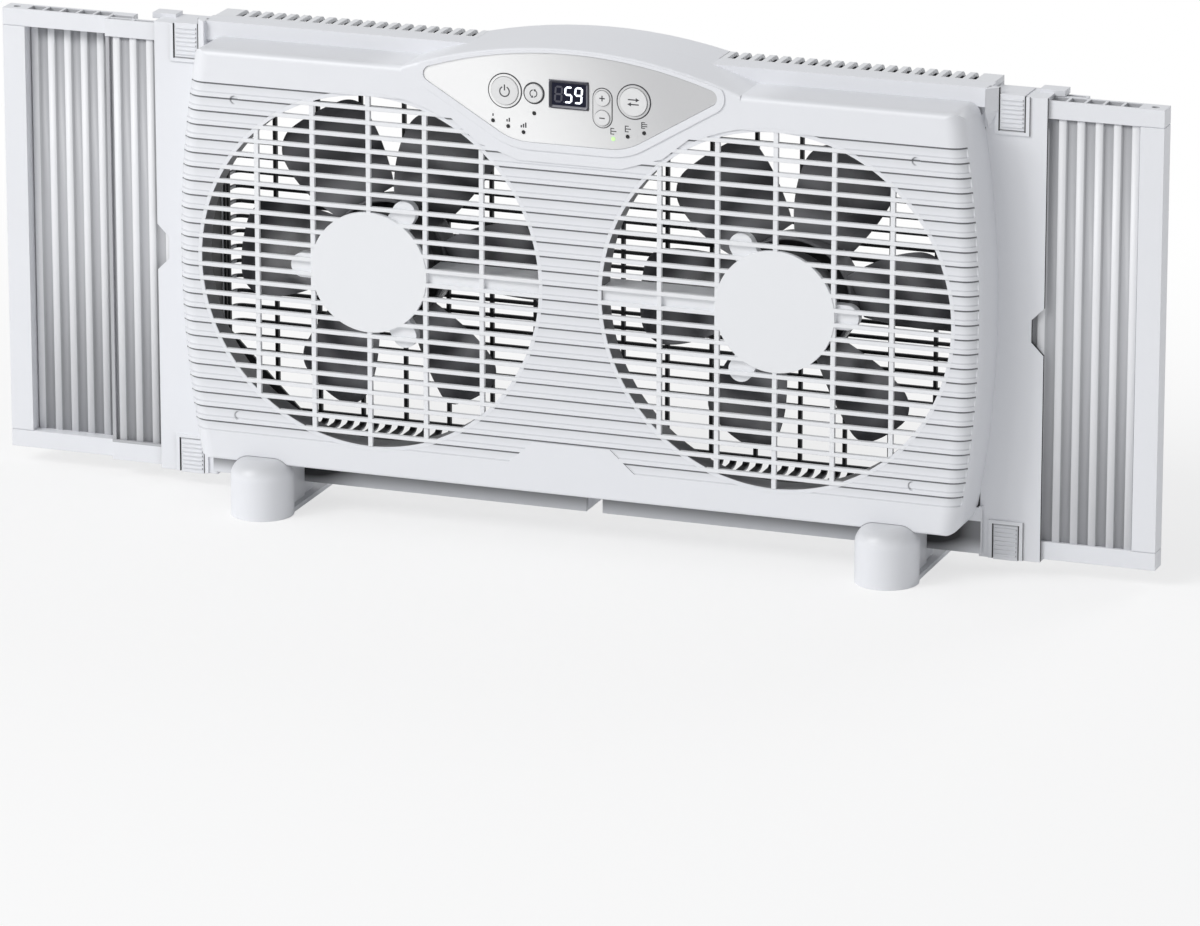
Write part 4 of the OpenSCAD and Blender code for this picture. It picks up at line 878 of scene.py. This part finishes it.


# ---- signs and lines of the keys ------------------------------------------

# Ink for the printed signs; the lines round the keys use it as painted shade.
INK_AND_SHADE = Paint("ink_and_shade", (0.05, 0.05, 0.055), 0.5).material
KEY_Z = 285.3  # height of the round keys' middles
SPEED_X, MODE_X, AIRFLOW_X = -43, -23.6, 43
PAIR_X = 22.2  # the plus key over the minus key
PLUS_Z, MINUS_Z = 279.6 + 6.35, 279.6 - 6.35
SPEED_LAMPS = ((-51.2, 269.8), (-41, 266.9), (-30.7, 263.9))
AIRFLOW_LAMPS = ((29.3, 265.2), (38.9, 267.5), (49.8, 270.7))
CAP_FRONT = -41.54  # depth at which the signs on the keys start
LARGE_R, MODE_R, PAIR_R = 10.95, 6.7, 6.25  # radii of the lines round the keys


def key_sign(name, outlines, body):
    """Flat signs on a key's cap."""
    marks(name, outlines, CAP_FRONT, MARK, INK_AND_SHADE, body, "bezel_plastic")


def plate_print_and_shade(name, outlines):
    """Flat print, and lines of painted shade, on the control plate."""
    marks(name, outlines, COVER_FRONT - 0.03, PLATE_MARK, INK_AND_SHADE, "housing", "bezel_plastic")


def key_signs():
    """On the keys: an open ring with a bar, a ring with two arrowheads, plus,
    minus, and two arrows that point apart."""
    signs = stroke_arc(SPEED_X, KEY_Z - 0.3, 3.2, 118, 422, 0.8)
    signs.append(bar(SPEED_X, KEY_Z + 0.4, SPEED_X, KEY_Z + 4.2, 0.8))
    key_sign("speed_sign", signs, "speed_key")

    r, w = 2.3, 0.65
    signs = stroke_arc(MODE_X, KEY_Z, r, 100, 240, w, 16)
    signs += stroke_arc(MODE_X, KEY_Z, r, 280, 420, w, 16)
    for a in (240, 60):
        p = polar(r, a) + [MODE_X, KEY_Z]
        n = polar(1.0, a)
        signs.append([p + polar(1.3, a + 90), p + n, p - n])
    key_sign("mode_sign", signs, "mode_key")

    x, reach, gap, w = PAIR_X, 1.8, 0.38, 0.75
    signs = [bar(x - reach, PLUS_Z, x + reach, PLUS_Z, w)]
    signs.append(bar(x, PLUS_Z - reach, x, PLUS_Z - gap, w))
    signs.append(bar(x, PLUS_Z + gap, x, PLUS_Z + reach, w))
    key_sign("plus_sign", signs, "plus_key")
    key_sign("minus_sign", [bar(x - reach, MINUS_Z, x + reach, MINUS_Z, w)], "minus_key")

    x = AIRFLOW_X
    signs = []
    for d in (1, -1):
        z = KEY_Z + 1.5 * d
        neck = x + 1.6 * d
        signs.append(bar(x - 3.6 * d, z, neck, z, w))
        signs.append([(x + 4.0 * d, z), (neck, z + 1.3 * d), (neck, z - 1.3 * d)])
    key_sign("airflow_signs", signs, "airflow_key")


def lamp_signs():
    """By the lamps: one, two and three bars for the speeds; a bracket with one
    or two lines for the air's way."""
    out = []
    for n, (x, z) in enumerate(SPEED_LAMPS):
        for k in range(n + 1):
            xk = x + (k - n / 2) * 1.5
            out.append(bar(xk, z - 1.5, xk, z + 0.1 + 0.9 * k, 0.95))
    for n, (x, z) in enumerate(AIRFLOW_LAMPS):
        out.append(bar(x - 1.6, z - 2.1, x - 1.6, z + 2.1, 0.6))
        out += [bar(x - 1.3, z + up, x + 0.6, z + up, 0.55) for up in (1.8, -1.8)]
        lines, w = ((0,), 0.6) if n < 2 else ((0.65, -0.65), 0.55)
        out += [bar(x - 1.3, z + up, x + 2.1, z + up, w) for up in lines]
    plate_print_and_shade("lamp_signs", out)


def button_lines():
    """Thin dark lines round the keys and their caps: painted shade in the gaps there."""
    rings = []
    for x in (SPEED_X, AIRFLOW_X):
        rings += stroke_arc(x, KEY_Z, LARGE_R, 0, 360, 1.05, 96)
        rings += stroke_arc(x, KEY_Z, 9.4, 0, 360, 0.5, 96)
    w = 0.9
    rings += stroke_arc(MODE_X, KEY_Z, MODE_R, 0, 360, w, 72)
    rings += stroke_arc(PAIR_X, PLUS_Z, PAIR_R, 0, 180, w)
    rings += stroke_arc(PAIR_X, MINUS_Z, PAIR_R, 180, 360, w)
    rings += [bar(x, MINUS_Z, x, PLUS_Z, w) for x in (PAIR_X - PAIR_R, PAIR_X + PAIR_R)]
    for z in (PLUS_Z, MINUS_Z):
        rings += stroke_arc(PAIR_X, z, 5.2, 0, 360, 0.5, 64)
    plate_print_and_shade("button_lines", rings)


# ---- housing's top --------------------------------------------------------


def top_corners():
    """The housing's top runs on to the clips at both ends, where its front
    slopes back to the side plates' front."""
    wall, clip, back = 262.0, 269.2, 2.0
    slope = [[wall, -8.0], [clip, -0.4], [clip, back], [wall, back]]
    foot = [[wall, -0.2], [clip, -0.2], [clip, back], [wall, back]]
    levels = ((278.0, foot), (290.0, slope), (304.5, slope))
    f = [[b + i, b + (i + 1) % 4, b + 4 + (i + 1) % 4, b + 4 + i] for b in (0, 4) for i in range(4)]
    f += [[3, 2, 1, 0], [8, 9, 10, 11]]
    for side, sign in SIDES.items():
        v = [[x * sign, y, z] for z, outline in levels for x, y in outline]
        faces = [face[::sign] for face in f]
        paint = MATERIALS["bay_plastic"]
        mesh(f"{side}_top_corner", v, faces, paint, "housing", smooth=False)


surround()
display()
key_signs()
lamp_signs()
button_lines()
top_corners()


# ---- lamps, camera and backdrop -------------------------------------------


def sky():
    """Soft white light all round, which the camera sees as plain white."""
    scene = bpy.context.scene
    scene.view_settings.view_transform = "Standard"
    scene.view_settings.look = "None"
    world = bpy.data.worlds.new("soft_light")
    scene.world = world
    world.use_nodes = True
    tree = world.node_tree
    light = tree.nodes["Background"]
    light.inputs["Color"].default_value = (0.97, 0.98, 1.0, 1)
    light.inputs["Strength"].default_value = 0.44
    white = tree.nodes.new("ShaderNodeBackground")
    white.inputs["Color"].default_value = (0.97, 0.97, 0.97, 1)
    white.inputs["Strength"].default_value = 1.0
    path = tree.nodes.new("ShaderNodeLightPath")
    mixer = tree.nodes.new("ShaderNodeMixShader")
    tree.links.new(path.outputs["Is Camera Ray"], mixer.inputs[0])
    tree.links.new(light.outputs[0], mixer.inputs[1])
    tree.links.new(white.outputs[0], mixer.inputs[2])
    tree.links.new(mixer.outputs[0], tree.nodes["World Output"].inputs[0])


def floor():
    """Pale floor with the fan's shadow, paler to the camera further back."""
    data = bpy.data.meshes.new("floor")
    s = 3.0
    data.from_pydata([(-s, -s, 0), (s, -s, 0), (s, s, 0), (-s, s, 0)], [], [(0, 1, 2, 3)])
    ground = bpy.data.objects.new("floor", data)
    bpy.context.scene.collection.objects.link(ground)
    paint = Paint("floor_white", (0.92, 0.92, 0.92), 0.9)
    tree = paint.tree
    glow = tree.nodes.new("ShaderNodeEmission")
    path = tree.nodes.new("ShaderNodeLightPath")
    mixer = tree.nodes.new("ShaderNodeMixShader")
    far = paint.at("y").step(0.05, 0.9) * 0.34 + 0.66
    seen = Sock(tree, path.outputs["Is Camera Ray"]) * far
    tree.links.new(seen.socket, mixer.inputs[0])
    tree.links.new(paint.shader.outputs[0], mixer.inputs[1])
    tree.links.new(glow.outputs[0], mixer.inputs[2])
    tree.links.new(mixer.outputs[0], tree.nodes["Material Output"].inputs[0])
    data.materials.append(paint.material)


def lamp(name, spot, aim, size, power):
    """A square soft lamp at spot that faces aim, both in metres."""
    light = bpy.data.lights.new(name, "AREA")
    light.shape = "SQUARE"
    light.size = size
    light.energy = power
    obj = bpy.data.objects.new(name, light)
    bpy.context.scene.collection.objects.link(obj)
    d = np.array(aim, float) - np.array(spot, float)
    obj.location = spot
    yaw = math.atan2(d[1], d[0]) - math.pi / 2
    pitch = math.atan2(d[2], math.hypot(d[0], d[1])) + math.pi / 2
    obj.rotation_euler = (pitch, 0, yaw)


FOCAL = 7567.4  # focal length in pixels of the photograph
PHOTO_W = 1200  # the photograph's width in pixels
AZIMUTH, ELEVATION = 20.15, 16.69  # degrees to the fan's right and above it
DISTANCE = 4.8425  # metres
AIM = (5.63, 0, 34.87)  # what the camera looks at, in the drawing


def camera():
    """The photograph's camera, as fitted: right of the fan and above it."""
    az, el = math.radians(AZIMUTH), math.radians(ELEVATION)
    cam = bpy.data.cameras.new("camera")
    cam.sensor_width = 36
    cam.lens = FOCAL / PHOTO_W * 36
    cam.clip_end = 50
    obj = bpy.data.objects.new("camera", cam)
    bpy.context.scene.collection.objects.link(obj)
    level = math.cos(el)
    away = np.array([math.sin(az) * level, -math.cos(az) * level, math.sin(el)])
    obj.location = place(AIM) + DISTANCE * away
    obj.rotation_euler = (math.pi / 2 - el, 0, az)
    bpy.context.scene.camera = obj


MIDDLE = (0, 0, 0.15)

sky()
floor()
lamp("key", (-2.19, -3.80, 4.24), MIDDLE, 2.4, 78)
lamp("side", (-3.60, -3.60, 3.33), MIDDLE, 2.4, 128)
lamp("top", (0.1, -0.1, 2.4), (0, 0, 0.2), 1.2, 2)
lamp("back", (1.6, 3.6, 2.8), MIDDLE, 2.0, 36)
camera()
